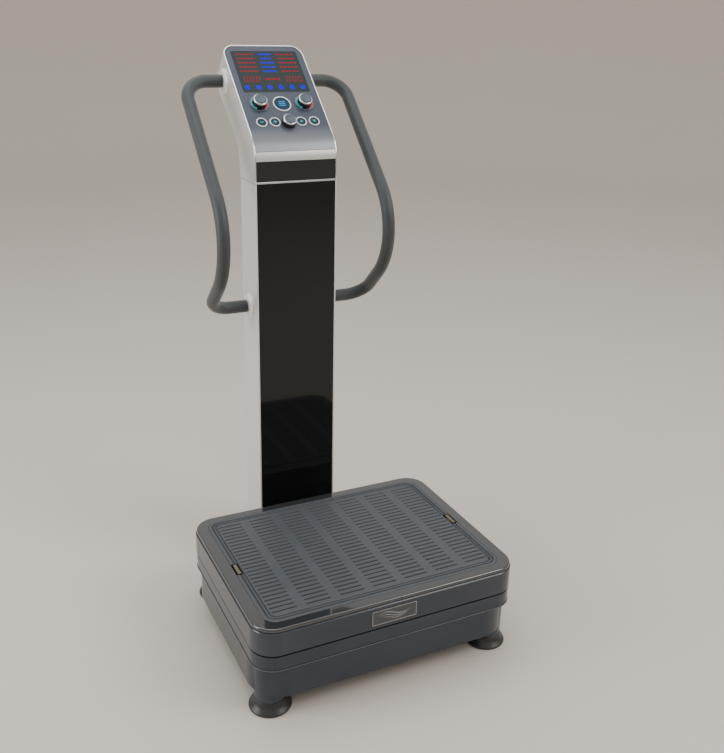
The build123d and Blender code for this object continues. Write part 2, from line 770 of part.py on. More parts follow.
# ------------------------------------------------------------------
# Carriage: the frame that shakes up and down on four rubber isolators,
# with the bearing blocks of the rocking axis
# ------------------------------------------------------------------
Z_CAR = 104.0
with BuildPart() as carriage:
    for sy in (-1, 1):
        with BuildSketch(level(Z_CAR, 0, sy * 165)):
            Rectangle(490, 30)
        extrude(amount=18)
    for sx in (-1, 1):
        with BuildSketch(level(Z_CAR, sx * 187)):
            Rectangle(20, 310)
        extrude(amount=18)
    with BuildSketch(level(Z_CAR, 140, 0)):
        Rectangle(84, 130)
    extrude(amount=6)
    for sy in (-1, 1):
        with BuildSketch(front(sy * 165 + 13)):
            with Locations((0, Z_CAR + 18 + 22)):
                Rectangle(52, 44)
            with Locations((0, ROCK_Z + 8)):
                Circle(24)
        extrude(amount=26)
        with BuildSketch(front(sy * 165 + 14)):
            with Locations((0, ROCK_Z)):
                Circle(12.06)
        extrude(amount=28, mode=Mode.SUBTRACT)
    for sx in (-1, 1):
        for sy in (-1, 1):
            with BuildSketch(level(Z_CAR - 2, sx * 230, sy * 165)):
                Circle(6.06)
            extrude(amount=22, mode=Mode.SUBTRACT)
carriage.part.label = "carriage"

with BuildPart() as rubber_buffers:
    for px, py in PINS:
        with BuildSketch(level(94, px, py)):
            Circle(16)
            Circle(6.4, mode=Mode.SUBTRACT)
        extrude(amount=8.4)
rubber_buffers.part.label = "rubber_buffers"


# ------------------------------------------------------------------
# Rocking motor on the chassis, belt and crank shaft
# ------------------------------------------------------------------
MX, MZ = MOTOR
CX, CZ = CRANK
with BuildPart() as rocking_motor:
    with BuildSketch(front(-6)):
        with Locations((MX, MZ)):
            Circle(38)
    extrude(amount=120)
    with BuildSketch(front(-6)):
        with Locations((MX, MZ)):
            Circle(40)
    extrude(amount=10)
    with BuildSketch(front(-116)):
        with Locations((MX, MZ)):
            Circle(40)
    extrude(amount=10)
    with BuildSketch(level(74, MX, -62)):
        Rectangle(60, 80)
    extrude(amount=12)
    with BuildSketch(level(68, -140, -62)):
        Rectangle(140, 60)
    extrude(amount=6)
    with BuildSketch(front(0)):
        with Locations((MX, MZ)):
            Circle(6.06)
    extrude(amount=24, mode=Mode.SUBTRACT)
rocking_motor.part.label = "rocking_motor"

with BuildPart() as motor_pulley:
    with BuildSketch(front(PUL_Y1 + 4)):
        with Locations((MX, MZ)):
            Circle(6.0)
    extrude(amount=PUL_Y1 + 4 + 20)
    with BuildSketch(front(PUL_Y1)):
        with Locations((MX, MZ)):
            Circle(R_PUL_M)
    extrude(amount=PUL_Y1 - PUL_Y0)
    for y in (PUL_Y1 + 2, PUL_Y0):
        with BuildSketch(front(y)):
            with Locations((MX, MZ)):
                Circle(R_PUL_M + 4.5)
        extrude(amount=2)
motor_pulley.part.label = "motor_pulley"

with BuildPart() as crank_shaft:
    with BuildSketch(front(66)):
        with Locations((CX, CZ)):
            Circle(8)
    extrude(amount=122)
    with BuildSketch(front(PUL_Y1)):
        with Locations((CX, CZ)):
            Circle(R_PUL_C)
    extrude(amount=PUL_Y1 - PUL_Y0)
    with BuildSketch(front(-8)):
        with Locations((CX, CZ - 3.0)):
            Circle(20)
    extrude(amount=14)
    with BuildSketch(front(PUL_Y1 + 1)):
        with Locations((CX, CZ)):
            with PolarLocations(18, 6):
                Circle(5)
    extrude(amount=PUL_Y1 - PUL_Y0 + 2, mode=Mode.SUBTRACT)
crank_shaft.part.label = "crank_shaft"

with BuildPart() as crank_bearings:
    for y in (46, -32):
        with BuildSketch(front(y + 8)):
            with Locations((CX, (94 + CZ) / 2)):
                Rectangle(36, CZ - 94)
            with Locations((CX, CZ)):
                Circle(18)
        extrude(amount=14)
        with BuildSketch(front(y + 9)):
            with Locations((CX, CZ)):
                Circle(8.06)
        extrude(amount=16, mode=Mode.SUBTRACT)
crank_bearings.part.label = "crank_bearings"

# flat belt: outside tangents of the two pulleys, 0.4 clear of them
BELT_C = 0.4
bd = math.hypot(CX - MX, CZ - MZ)
ba = math.atan2(CZ - MZ, CX - MX)


def belt_points(r_m, r_c):
    """Tangent and middle points of the loop around both pulleys."""
    off = math.acos((r_c - r_m) / bd)
    a1 = ba + off
    a2 = ba - off
    m_up = (MX + r_m * math.cos(a1), MZ + r_m * math.sin(a1))
    c_up = (CX + r_c * math.cos(a1), CZ + r_c * math.sin(a1))
    m_lo = (MX + r_m * math.cos(a2), MZ + r_m * math.sin(a2))
    c_lo = (CX + r_c * math.cos(a2), CZ + r_c * math.sin(a2))
    m_mid = (MX - r_m * math.cos(ba), MZ - r_m * math.sin(ba))
    c_mid = (CX + r_c * math.cos(ba), CZ + r_c * math.sin(ba))
    return m_up, c_up, m_lo, c_lo, m_mid, c_mid


def belt_plate(grow, y, width):
    """Solid filling the loop, grown by grow over the pulley radii."""
    with BuildPart() as bp:
        m_up, c_up, m_lo, c_lo, m_mid, c_mid = belt_points(R_PUL_M + grow, R_PUL_C + grow)
        with BuildSketch(front(y)):
            with BuildLine():
                b1 = Line(m_up, c_up)
                b2 = ThreePointArc(b1 @ 1, c_mid, c_lo)
                b3 = Line(b2 @ 1, m_lo)
                ThreePointArc(b3 @ 1, m_mid, b1 @ 0)
            make_face()
        extrude(amount=width)
    return bp.part


belt_outer = belt_plate(BELT_C + 2.4, PUL_Y1 - 3, PUL_Y1 - PUL_Y0 - 6)
belt_inner = belt_plate(BELT_C, PUL_Y1 - 2, PUL_Y1 - PUL_Y0)
with BuildPart() as drive_belt:
    add(belt_outer)
    add(belt_inner, mode=Mode.SUBTRACT)
drive_belt.part.label = "drive_belt"

# ------------------------------------------------------------------
# Vibration motor on the carriage with its out-of-balance weights
# ------------------------------------------------------------------
VX, VZ = VIB
with BuildPart() as vibration_motor:
    with BuildSketch(front(52)):
        with Locations((VX, VZ)):
            Circle(30)
    extrude(amount=104)
    with BuildSketch(level(Z_CAR + 6, VX, 0)):
        Rectangle(54, 80)
    extrude(amount=12)
    with BuildSketch(front(60)):
        with Locations((VX, VZ)):
            Circle(6.06)
    extrude(amount=120, mode=Mode.SUBTRACT)
vibration_motor.part.label = "vibration_motor"

with BuildPart() as vibration_weights:
    with BuildSketch(front(80)):
        with Locations((VX, VZ)):
            Circle(6)
    extrude(amount=160)
    for y in (74, -60):
        with BuildSketch(front(y)):
            with Locations((VX, VZ)):
                Circle(27)
                with Locations((0, 15.0)):
                    Rectangle(60, 30, mode=Mode.SUBTRACT)
                Circle(11)
        extrude(amount=14)
vibration_weights.part.label = "vibration_weights"

# ------------------------------------------------------------------
# Moving platform: steel deck with rocking stubs, shell, gloss rim, mat
# ------------------------------------------------------------------
with BuildPart() as platform_deck:
    with BuildSketch(level(226)):
        RectangleRounded(640, 480, 30)
    extrude(amount=3)
    for sx in (-1, 1):
        with BuildSketch(level(198, sx * 215)):
            Rectangle(30, 420)
        extrude(amount=28)
    for sy in (-1, 1):
        with BuildSketch(level(198, 0, sy * 132)):
            Rectangle(400, 30)
        extrude(amount=28)
        with BuildSketch(front(sy * 134 + 9)):
            with Locations((0, (ROCK_Z + 200) / 2)):
                Rectangle(60, 200 - ROCK_Z + 4)
            with Locations((0, ROCK_Z)):
                Circle(22)
        extrude(amount=18)
        with BuildSketch(front(sy * 153 + 29)):
            with Locations((0, ROCK_Z)):
                Circle(12.0)
        extrude(amount=58)
platform_deck.part.label = "platform_deck"

with BuildPart() as platform_shell:
    with BuildSketch(level(Z_GAP_HI)):
        RectangleRounded(W, D, RC)
    extrude(amount=Z_SKIRT_TOP - Z_GAP_HI)
    chamfer(platform_shell.faces().sort_by(Axis.Z)[-1].edges(), 2.2)
    with BuildSketch(level(Z_GAP_HI)):
        RectangleRounded(W - 8, D - 8, RC - 4)
    extrude(amount=229 - Z_GAP_HI, mode=Mode.SUBTRACT)
    with BuildSketch(front(-D / 2 - 1, -6, 203)):
        RectangleRounded(119, 40, 2.5)
    extrude(amount=-1.8, mode=Mode.SUBTRACT)
platform_shell.part.label = "platform_shell"

with BuildPart() as top_frame:
    with BuildSketch(level(Z_SKIRT_TOP)):
        RectangleRounded(W - 18, D - 18, RC - 9)
    extrude(amount=2.2)
    with BuildSketch(level(Z_SKIRT_TOP + 2.2)):
        RectangleRounded(W - 5, D - 5, RC - 2.5)
    extrude(amount=Z_TOP - Z_SKIRT_TOP - 2.2)
    fillet(top_frame.faces().sort_by(Axis.Z)[-1].edges(), 4.5)
    with BuildSketch(level(238)):
        RectangleRounded(MAT_W + 1, MAT_D + 1, MAT_R + 0.5)
    extrude(amount=10, mode=Mode.SUBTRACT)
    with BuildSketch(level(Z_SKIRT_TOP)):
        with Locations((-303, -2), (303, -2)):
            Rectangle(17, 50)
    extrude(amount=12, mode=Mode.SUBTRACT)
top_frame.part.label = "top_frame"

with BuildPart() as tread_mat:
    with BuildSketch(level(238)):
        RectangleRounded(MAT_W, MAT_D, MAT_R)
    extrude(amount=6)
    chamfer(tread_mat.faces().sort_by(Axis.Z)[-1].edges(), 1.5)
    with BuildSketch(level(236)):
        with Locations((-304, -2), (304, -2)):
            Rectangle(20, 50)
    extrude(amount=12, mode=Mode.SUBTRACT)
tread_mat.part.label = "tread_mat"

with BuildPart() as nameplate:
    with BuildSketch(front(-D / 2 + 0.8, -6, 203)):
        RectangleRounded(118, 39, 2)
    extrude(amount=1.8)
nameplate.part.label = "nameplate"

with BuildPart() as strap_anchors:
    for sx in (-1, 1):
        with BuildSketch(level(Z_SKIRT_TOP, sx * 303, -2)):
            Rectangle(15, 46)
        extrude(amount=2)
        for ey in (-1, 1):
            with BuildSketch(level(Z_SKIRT_TOP + 2, sx * 303, -2 + ey * 17.5)):
                Rectangle(9, 6)
            extrude(amount=9)
        with BuildSketch(front(-2 + 20.5, sx * 303, 242.2)):
            RectangleRounded(9, 3.6, 1.2)
        extrude(amount=41)
strap_anchors.part.label = "strap_anchors"

# ------------------------------------------------------------------
# Control unit in the housing, button board with the dials' potentiometers
# in the head, rear screws
# ------------------------------------------------------------------
with BuildPart() as control_unit:
    with BuildSketch(level(Z_FLOOR, -140, 80)):
        Rectangle(110, 84)
    extrude(amount=32)
    with BuildSketch(level(90, -140, 80)):
        with GridLocations(12, 0, 8, 1):
            Rectangle(3, 84)
    extrude(amount=12)
control_unit.part.label = "control_unit"

with BuildPart() as button_board:
    with BuildSketch(deck(-11)):
        with Locations((0, 70)):
            Rectangle(204, 116)
    extrude(amount=-1.6)
    with BuildSketch(deck(-11)):
        with Locations((0, START_S)):
            Rectangle(9, 9)
        with Locations(*[(x, BTN_S) for x in BTN_X]):
            Rectangle(7, 7)
    extrude(amount=2)
    for x, s in ((-DIAL_X, DIAL_S), (DIAL_X, DIAL_S), (0, CDIAL_S)):
        with BuildSketch(deck(-4.9, x, s)):
            Circle(9.5)
        extrude(amount=-11)
        with BuildSketch(deck(-4.9, x, s)):
            Circle(3.08)
        extrude(amount=-9, mode=Mode.SUBTRACT)
button_board.part.label = "button_board"

with BuildPart() as rear_screws:
    with BuildSketch(rear(COL_B - 0.6)):
        with Locations(*[(sx * 82, z) for sx in (-1, 1) for z in (150, 620, 1090)]):
            Circle(5.5)
    extrude(amount=1.9)
    fillet(rear_screws.faces().sort_by(Axis.Y)[-1].edges(), 0.8)
    with BuildSketch(rear(COL_B + 1.3)):
        with Locations(*[(sx * 82, z) for sx in (-1, 1) for z in (150, 620, 1090)]):
            RegularPolygon(2.2, 6)
    extrude(amount=-1.2, mode=Mode.SUBTRACT)
rear_screws.part.label = "rear_screws"

# ------------------------------------------------------------------
# Export: one file per piece
# ------------------------------------------------------------------
export_step(lower_housing.part, "parts/lower_housing.step")
export_step(base_gasket.part, "parts/base_gasket.step")
export_step(rubber_feet.part, "parts/rubber_feet.step")
export_step(foot_bolts.part, "parts/foot_bolts.step")
export_step(chassis_frame.part, "parts/chassis_frame.step")
export_step(column_post.part, "parts/column_post.step")
export_step(column_side_left, "parts/column_side_left.step")
export_step(column_side_right, "parts/column_side_right.step")
export_step(column_front_panel.part, "parts/column_front_panel.step")
export_step(column_rear_cover.part, "parts/column_rear_cover.step")
export_step(joint_trim.part, "parts/joint_trim.step")
export_step(head_shell.part, "parts/head_shell.step")
export_step(head_band.part, "parts/head_band.step")
export_step(head_lip.part, "parts/head_lip.step")
export_step(console_fascia.part, "parts/console_fascia.step")
export_step(display_window.part, "parts/display_window.step")
export_step(red_lenses.part, "parts/red_lenses.step")
export_step(blue_lenses.part, "parts/blue_lenses.step")
export_step(display_board.part, "parts/display_board.step")
export_step(dial_bezels.part, "parts/dial_bezels.step")
export_step(dial_scale_rings.part, "parts/dial_scale_rings.step")
export_step(left_dial, "parts/left_dial.step")
export_step(left_dial_cap, "parts/left_dial_cap.step")
export_step(right_dial, "parts/right_dial.step")
export_step(right_dial_cap, "parts/right_dial_cap.step")
export_step(centre_dial, "parts/centre_dial.step")
export_step(centre_dial_cap, "parts/centre_dial_cap.step")
export_step(button_rings.part, "parts/button_rings.step")
export_step(start_button, "parts/start_button.step")
for b in button_parts:
    export_step(b, f"parts/{b.label}.step")
export_step(handle_tube_left, "parts/handle_tube_left.step")
export_step(handle_tube_right, "parts/handle_tube_right.step")
export_step(grip_left, "parts/grip_left.step")
export_step(grip_right, "parts/grip_right.step")
export_step(handle_flanges.part, "parts/handle_flanges.step")
export_step(tail_cover.part, "parts/tail_cover.step")
export_step(power_inlet.part, "parts/power_inlet.step")
export_step(switch_housing.part, "parts/switch_housing.step")
export_step(power_rocker.part, "parts/power_rocker.step")
export_step(carriage.part, "parts/carriage.step")
export_step(rubber_buffers.part, "parts/rubber_buffers.step")
export_step(control_unit.part, "parts/control_unit.step")
export_step(button_board.part, "parts/button_board.step")
export_step(rear_screws.part, "parts/rear_screws.step")
export_step(rocking_motor.part, "parts/rocking_motor.step")
export_step(motor_pulley.part, "parts/motor_pulley.step")
export_step(crank_shaft.part, "parts/crank_shaft.step")
export_step(crank_bearings.part, "parts/crank_bearings.step")
export_step(drive_belt.part, "parts/drive_belt.step")
export_step(vibration_motor.part, "parts/vibration_motor.step")
export_step(vibration_weights.part, "parts/vibration_weights.step")
export_step(platform_deck.part, "parts/platform_deck.step")
export_step(platform_shell.part, "parts/platform_shell.step")
export_step(top_frame.part, "parts/top_frame.step")
export_step(tread_mat.part, "parts/tread_mat.step")
export_step(nameplate.part, "parts/nameplate.step")
export_step(strap_anchors.part, "parts/strap_anchors.step")
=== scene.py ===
import json
import math

import bmesh
import bpy
from mathutils import Matrix, Vector


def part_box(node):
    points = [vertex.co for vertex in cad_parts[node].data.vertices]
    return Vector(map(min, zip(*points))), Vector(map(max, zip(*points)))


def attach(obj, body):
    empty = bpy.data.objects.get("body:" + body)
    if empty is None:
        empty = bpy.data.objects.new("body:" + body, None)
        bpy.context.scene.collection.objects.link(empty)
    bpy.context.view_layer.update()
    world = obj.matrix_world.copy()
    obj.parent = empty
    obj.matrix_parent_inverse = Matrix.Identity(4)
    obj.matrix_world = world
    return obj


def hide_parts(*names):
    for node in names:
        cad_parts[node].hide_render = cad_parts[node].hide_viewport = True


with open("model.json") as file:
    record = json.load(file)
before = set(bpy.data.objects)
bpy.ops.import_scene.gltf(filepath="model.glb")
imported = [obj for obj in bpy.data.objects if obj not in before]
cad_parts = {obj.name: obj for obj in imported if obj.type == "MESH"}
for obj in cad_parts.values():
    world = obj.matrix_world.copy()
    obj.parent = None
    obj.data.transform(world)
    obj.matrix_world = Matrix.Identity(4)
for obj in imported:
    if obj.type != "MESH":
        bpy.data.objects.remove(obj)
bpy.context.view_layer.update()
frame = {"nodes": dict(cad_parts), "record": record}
nodes = frame["nodes"]
record = frame["record"]

MM = 0.001
_lo, _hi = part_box("platform_deck")
YB = (_lo.y + _hi.y) / 2 / MM          # y of the platform's centre, mm

# console geometry, the same as the CAD model's
COL_HW, COL_F, COL_B = 114.2, 350.0, 465.0
R_HEAD, Z_ARC, TILT, S_TOP = 100.6, 1167.6, 43.0, 306.0
TR = math.radians(TILT)
UX, UZ = math.cos(TR), math.sin(TR)
ARC_T = 90.0 - TILT
A_Y = COL_F + R_HEAD * (1 - math.cos(math.radians(ARC_T)))
A_Z = Z_ARC + R_HEAD * math.sin(math.radians(ARC_T))
DIAL_X, DIAL_S, CDIAL_S = 63.0, 97.5, 31.0
BTN_S, BTN_X = 35.0, (-73.0, -36.5, 36.5, 73.0)
START_S = 96.0


def V(x, y, z):
    """A point in mm, y counted from the platform's centre, to metres."""
    return Vector((x * MM, (y + YB) * MM, z * MM))


def deck_matrix(x, s, off=0.0):
    """Placement on the console face: local X across, Y up the slope, Z out."""
    o = V(x, A_Y + UX * s - UZ * off, A_Z + UZ * s + UX * off)
    cx = Vector((1, 0, 0))
    cy = Vector((0, UX, UZ))
    cz = Vector((0, -UZ, UX))
    return Matrix((
        (cx.x, cy.x, cz.x, o.x), (cx.y, cy.y, cz.y, o.y),
        (cx.z, cy.z, cz.z, o.z), (0, 0, 0, 1),
    ))


# ------------------------------------------------------------------
# materials
# ------------------------------------------------------------------
def new_mat(name):
    m = bpy.data.materials.new(name)
    m.use_nodes = True
    nt = m.node_tree
    bsdf = next(n for n in nt.nodes if n.type == "BSDF_PRINCIPLED")
    return m, nt, bsdf


def surface(name, dark, light, rough=(0.3, 0.4), metallic=0.0, blotch=6.0,
            grain=900.0, bump=0.08, bump_dist=0.0002, coat=0.0, coat_rough=0.05,
            spec=0.5, sheen=0.0, stretch=(1, 1, 1), detail=6.0, wear_and_edge_highlight=0.0,
            wear_and_edge_highlight_col=(0.3, 0.3, 0.3)):
    """Two tones mixed by soft noise, fine grain in roughness and bump."""
    m, nt, b = new_mat(name)
    L = nt.links
    tc = nt.nodes.new("ShaderNodeTexCoord")
    mp = nt.nodes.new("ShaderNodeMapping")
    mp.inputs["Scale"].default_value = stretch
    L.new(tc.outputs["Object"], mp.inputs["Vector"])
    n1 = nt.nodes.new("ShaderNodeTexNoise")
    n1.inputs["Scale"].default_value = blotch
    n1.inputs["Detail"].default_value = 5.0
    L.new(mp.outputs["Vector"], n1.inputs["Vector"])
    n2 = nt.nodes.new("ShaderNodeTexNoise")
    n2.inputs["Scale"].default_value = grain
    n2.inputs["Detail"].default_value = detail
    n2.inputs["Roughness"].default_value = 0.6
    L.new(mp.outputs["Vector"], n2.inputs["Vector"])
    mix = nt.nodes.new("ShaderNodeMix")
    mix.data_type = "RGBA"
    mix.inputs["A"].default_value = (*dark, 1)
    mix.inputs["B"].default_value = (*light, 1)
    ad = nt.nodes.new("ShaderNodeMath")
    ad.operation = "MULTIPLY_ADD"
    ad.inputs[1].default_value = 0.35
    L.new(n2.outputs["Fac"], ad.inputs[0])
    sc = nt.nodes.new("ShaderNodeMath")
    sc.operation = "MULTIPLY"
    sc.inputs[1].default_value = 0.65
    L.new(n1.outputs["Fac"], sc.inputs[0])
    L.new(sc.outputs[0], ad.inputs[2])
    L.new(ad.outputs[0], mix.inputs["Factor"])
    out_col = mix.outputs["Result"]
    # lighter tone on convex edges from the pointiness mask: real edge wear on the frame, a painted edge highlight on
    # the housing
    if wear_and_edge_highlight > 0:
        geo = nt.nodes.new("ShaderNodeNewGeometry")
        rp = nt.nodes.new("ShaderNodeMapRange")
        rp.inputs["From Min"].default_value = 0.52
        rp.inputs["From Max"].default_value = 0.62
        rp.inputs["To Min"].default_value = 0.0
        rp.inputs["To Max"].default_value = wear_and_edge_highlight
        L.new(geo.outputs["Pointiness"], rp.inputs["Value"])
        w = nt.nodes.new("ShaderNodeMix")
        w.data_type = "RGBA"
        w.inputs["B"].default_value = (*wear_and_edge_highlight_col, 1)
        L.new(rp.outputs["Result"], w.inputs["Factor"])
        L.new(out_col, w.inputs["A"])
        out_col = w.outputs["Result"]
    L.new(out_col, b.inputs["Base Color"])
    mr = nt.nodes.new("ShaderNodeMapRange")
    mr.inputs["To Min"].default_value = rough[0]
    mr.inputs["To Max"].default_value = rough[1]
    L.new(n1.outputs["Fac"], mr.inputs["Value"])
    L.new(mr.outputs["Result"], b.inputs["Roughness"])
    b.inputs["Metallic"].default_value = metallic
    b.inputs["Specular IOR Level"].default_value = spec
    b.inputs["Coat Weight"].default_value = coat
    b.inputs["Coat Roughness"].default_value = coat_rough
    b.inputs["Sheen Weight"].default_value = sheen
    if bump > 0:
        bp = nt.nodes.new("ShaderNodeBump")
        bp.inputs["Strength"].default_value = bump
        bp.inputs["Distance"].default_value = bump_dist
        L.new(n2.outputs["Fac"], bp.inputs["Height"])
        L.new(bp.outputs["Normal"], b.inputs["Normal"])
    return m


def lamp(name, col, dark, strength, rough=0.25):
    """Lit lens: a bright middle tone broken by fine noise."""
    m, nt, b = new_mat(name)
    L = nt.links
    tc = nt.nodes.new("ShaderNodeTexCoord")
    n = nt.nodes.new("ShaderNodeTexNoise")
    n.inputs["Scale"].default_value = 260.0
    n.inputs["Detail"].default_value = 3.0
    L.new(tc.outputs["Object"], n.inputs["Vector"])
    mix = nt.nodes.new("ShaderNodeMix")
    mix.data_type = "RGBA"
    mix.inputs["A"].default_value = (*dark, 1)
    mix.inputs["B"].default_value = (*col, 1)
    mr = nt.nodes.new("ShaderNodeMapRange")
    mr.inputs["From Min"].default_value = 0.2
    mr.inputs["From Max"].default_value = 0.6
    L.new(n.outputs["Fac"], mr.inputs["Value"])
    L.new(mr.outputs["Result"], mix.inputs["Factor"])
    L.new(mix.outputs["Result"], b.inputs["Base Color"])
    L.new(mix.outputs["Result"], b.inputs["Emission Color"])
    b.inputs["Emission Strength"].default_value = strength
    b.inputs["Specular IOR Level"].default_value = 0.08
    b.inputs["Roughness"].default_value = rough
    return m


M = {}
# the housing's lighter convex edges are a painted edge highlight, not wear
M["housing"] = surface("slate_shell", (0.014, 0.020, 0.031), (0.040, 0.049, 0.064), rough=(0.10, 0.26),
                       blotch=7.0, grain=1400.0, bump=0.05, coat=0.12, coat_rough=0.10, spec=0.34,
                       wear_and_edge_highlight=0.15, wear_and_edge_highlight_col=(0.12, 0.13, 0.14))
M["gloss_rim"] = surface("gloss_rim", (0.020, 0.021, 0.023), (0.030, 0.031, 0.033), rough=(0.045, 0.10),
                         blotch=7.0, grain=500.0, bump=0.012, coat=0.7, coat_rough=0.03, spec=0.7)
M["mat"] = surface("mat_rubber", (0.045, 0.053, 0.063), (0.066, 0.076, 0.088), rough=(0.40, 0.55),
                   blotch=9.0, grain=1900.0, bump=0.35, bump_dist=0.00022, sheen=0.04)
M["black_rubber"] = surface("black_rubber", (0.012, 0.0125, 0.013), (0.024, 0.025, 0.026), rough=(0.28, 0.45),
                            blotch=12.0, grain=1500.0, bump=0.2, sheen=0.05)
M["zinc"] = surface("zinc_plate", (0.50, 0.49, 0.45), (0.66, 0.65, 0.62), rough=(0.25, 0.4), metallic=1.0,
                    blotch=60.0, grain=2200.0, bump=0.1)
M["frame_paint"] = surface("powder_coat", (0.022, 0.023, 0.025), (0.042, 0.044, 0.047), rough=(0.4, 0.55),
                           blotch=14.0, grain=1100.0, bump=0.4, bump_dist=0.0003, wear_and_edge_highlight=0.3,
                           wear_and_edge_highlight_col=(0.2, 0.2, 0.2))
M["silver_metal"] = surface("satin_aluminium", (0.70, 0.695, 0.688), (0.80, 0.795, 0.788), rough=(0.30, 0.42),
                            metallic=0.45, blotch=2.2, grain=1300.0, bump=0.10, bump_dist=0.0001,
                            stretch=(1, 1, 0.03), coat=0.1)
M["silver_paint"] = surface("silver_enamel", (0.46, 0.455, 0.445), (0.55, 0.545, 0.535), rough=(0.33, 0.45),
                            metallic=0.25, blotch=5.0, grain=1400.0, bump=0.12)
M["silver_plastic"] = surface("silver_lacquer", (0.56, 0.556, 0.548), (0.66, 0.656, 0.648), rough=(0.24, 0.34),
                              metallic=0.25, blotch=4.0, grain=2400.0, bump=0.05, coat=0.25, coat_rough=0.1)
M["black_glass"] = surface("back_painted_glass", (0.0045, 0.0048, 0.0055), (0.009, 0.0092, 0.010), rough=(0.04, 0.09),
                           blotch=3.0, grain=120.0, bump=0.01, coat=0.12, coat_rough=0.03, spec=0.28)
M["black_gloss"] = surface("black_gloss", (0.009, 0.009, 0.009), (0.017, 0.017, 0.017), rough=(0.10, 0.17),
                           blotch=8.0, grain=600.0, bump=0.02, coat=0.3)
M["dark_trim"] = surface("dark_trim", (0.034, 0.037, 0.042), (0.052, 0.056, 0.062), rough=(0.33, 0.48),
                         blotch=6.0, grain=1500.0, bump=0.2)
M["board"] = surface("board_laminate", (0.012, 0.06, 0.030), (0.02, 0.10, 0.05), rough=(0.3, 0.4),
                     blotch=30.0, grain=900.0, bump=0.05)
M["white_ring"] = surface("white_ring", (0.84, 0.85, 0.88), (0.92, 0.93, 0.95), rough=(0.15, 0.25),
                          blotch=30.0, grain=900.0, bump=0.02, coat=0.3)
M["steel_tube"] = surface("steel_tube", (0.50, 0.50, 0.50), (0.64, 0.64, 0.63), rough=(0.22, 0.34), metallic=1.0,
                          blotch=30.0, grain=1600.0, bump=0.08)
M["foam"] = surface("grip_foam", (0.023, 0.029, 0.032), (0.041, 0.049, 0.053), rough=(0.42, 0.58),
                    blotch=16.0, grain=2600.0, bump=0.55, bump_dist=0.00035, sheen=0.22)
M["polished"] = surface("polished", (0.72, 0.72, 0.715), (0.82, 0.82, 0.815), rough=(0.12, 0.22), metallic=0.85,
                        blotch=25.0, grain=1200.0, bump=0.03)
M["dark_metal"] = surface("motor_paint", (0.045, 0.046, 0.05), (0.075, 0.077, 0.082), rough=(0.35, 0.5),
                          metallic=0.3, blotch=16.0, grain=900.0, bump=0.3)
M["cast"] = surface("machined_casting", (0.16, 0.16, 0.16), (0.25, 0.25, 0.245), rough=(0.4, 0.6), metallic=0.9,
                    blotch=30.0, grain=700.0, bump=0.5, bump_dist=0.0003)
M["pulley"] = surface("turned_alloy", (0.46, 0.46, 0.46), (0.6, 0.6, 0.6), rough=(0.2, 0.35), metallic=1.0,
                      blotch=40.0, grain=1500.0, bump=0.1)
M["plate"] = surface("plate_ground", (0.045, 0.05, 0.056), (0.085, 0.092, 0.10), rough=(0.28, 0.42), metallic=0.3,
                     blotch=40.0, grain=1800.0, bump=0.15, stretch=(0.05, 1, 1))
M["plate_bright"] = surface("plate_bright", (0.23, 0.235, 0.24), (0.32, 0.325, 0.33), rough=(0.22, 0.34), metallic=0.7,
                            blotch=40.0, grain=1800.0, bump=0.08)
M["brass"] = surface("satin_brass", (0.22, 0.195, 0.135), (0.34, 0.31, 0.23), rough=(0.22, 0.38), metallic=1.0,
                     blotch=60.0, grain=1600.0, bump=0.12)
M["knob"] = surface("knob_black", (0.010, 0.010, 0.011), (0.02, 0.02, 0.021), rough=(0.2, 0.3),
                    blotch=30.0, grain=900.0, bump=0.05, coat=0.2)
M["knob_top"] = surface("knob_top", (0.05, 0.075, 0.10), (0.085, 0.115, 0.145), rough=(0.2, 0.32), metallic=0.2,
                        blotch=50.0, grain=1400.0, bump=0.06, coat=0.0, spec=0.35)
M["bezel"] = surface("dial_bezel", (0.075, 0.09, 0.115), (0.11, 0.13, 0.16), rough=(0.08, 0.16),
                     blotch=20.0, grain=900.0, bump=0.02, coat=0.5, coat_rough=0.03)
M["screen"] = surface("smoked_window", (0.018, 0.026, 0.029), (0.028, 0.038, 0.041), rough=(0.22, 0.32),
                      blotch=20.0, grain=900.0, bump=0.02, coat=0.0, spec=0.12)
M["red_lamp"] = lamp("red_lamp", (0.24, 0.006, 0.014), (0.15, 0.004, 0.009), 0.5)
M["blue_lamp"] = lamp("blue_lamp", (0.001, 0.0005, 0.42), (0.001, 0.0005, 0.30), 0.7)
M["cyan_bar"] = lamp("cyan_bar", (0.03, 0.22, 0.75), (0.02, 0.12, 0.5), 0.8)
M["cyan_arc"] = lamp("cyan_arc", (0.01, 0.38, 0.44), (0.005, 0.22, 0.28), 0.6)
M["red_arc"] = lamp("red_arc", (0.62, 0.02, 0.05), (0.36, 0.01, 0.03), 0.6)
M["arc_lamp"] = M["cyan_arc"]
M["blue_button"] = lamp("blue_button", (0.014, 0.042, 0.080), (0.010, 0.030, 0.058), 0.2)
M["teal_button"] = lamp("teal_button", (0.022, 0.045, 0.062), (0.016, 0.033, 0.047), 0.2)
M["icon_light"] = lamp("icon_light", (0.05, 0.32, 0.42), (0.03, 0.23, 0.32), 0.6)
M["icon_blue"] = lamp("icon_blue", (0.03, 0.20, 0.38), (0.02, 0.14, 0.29), 0.6)

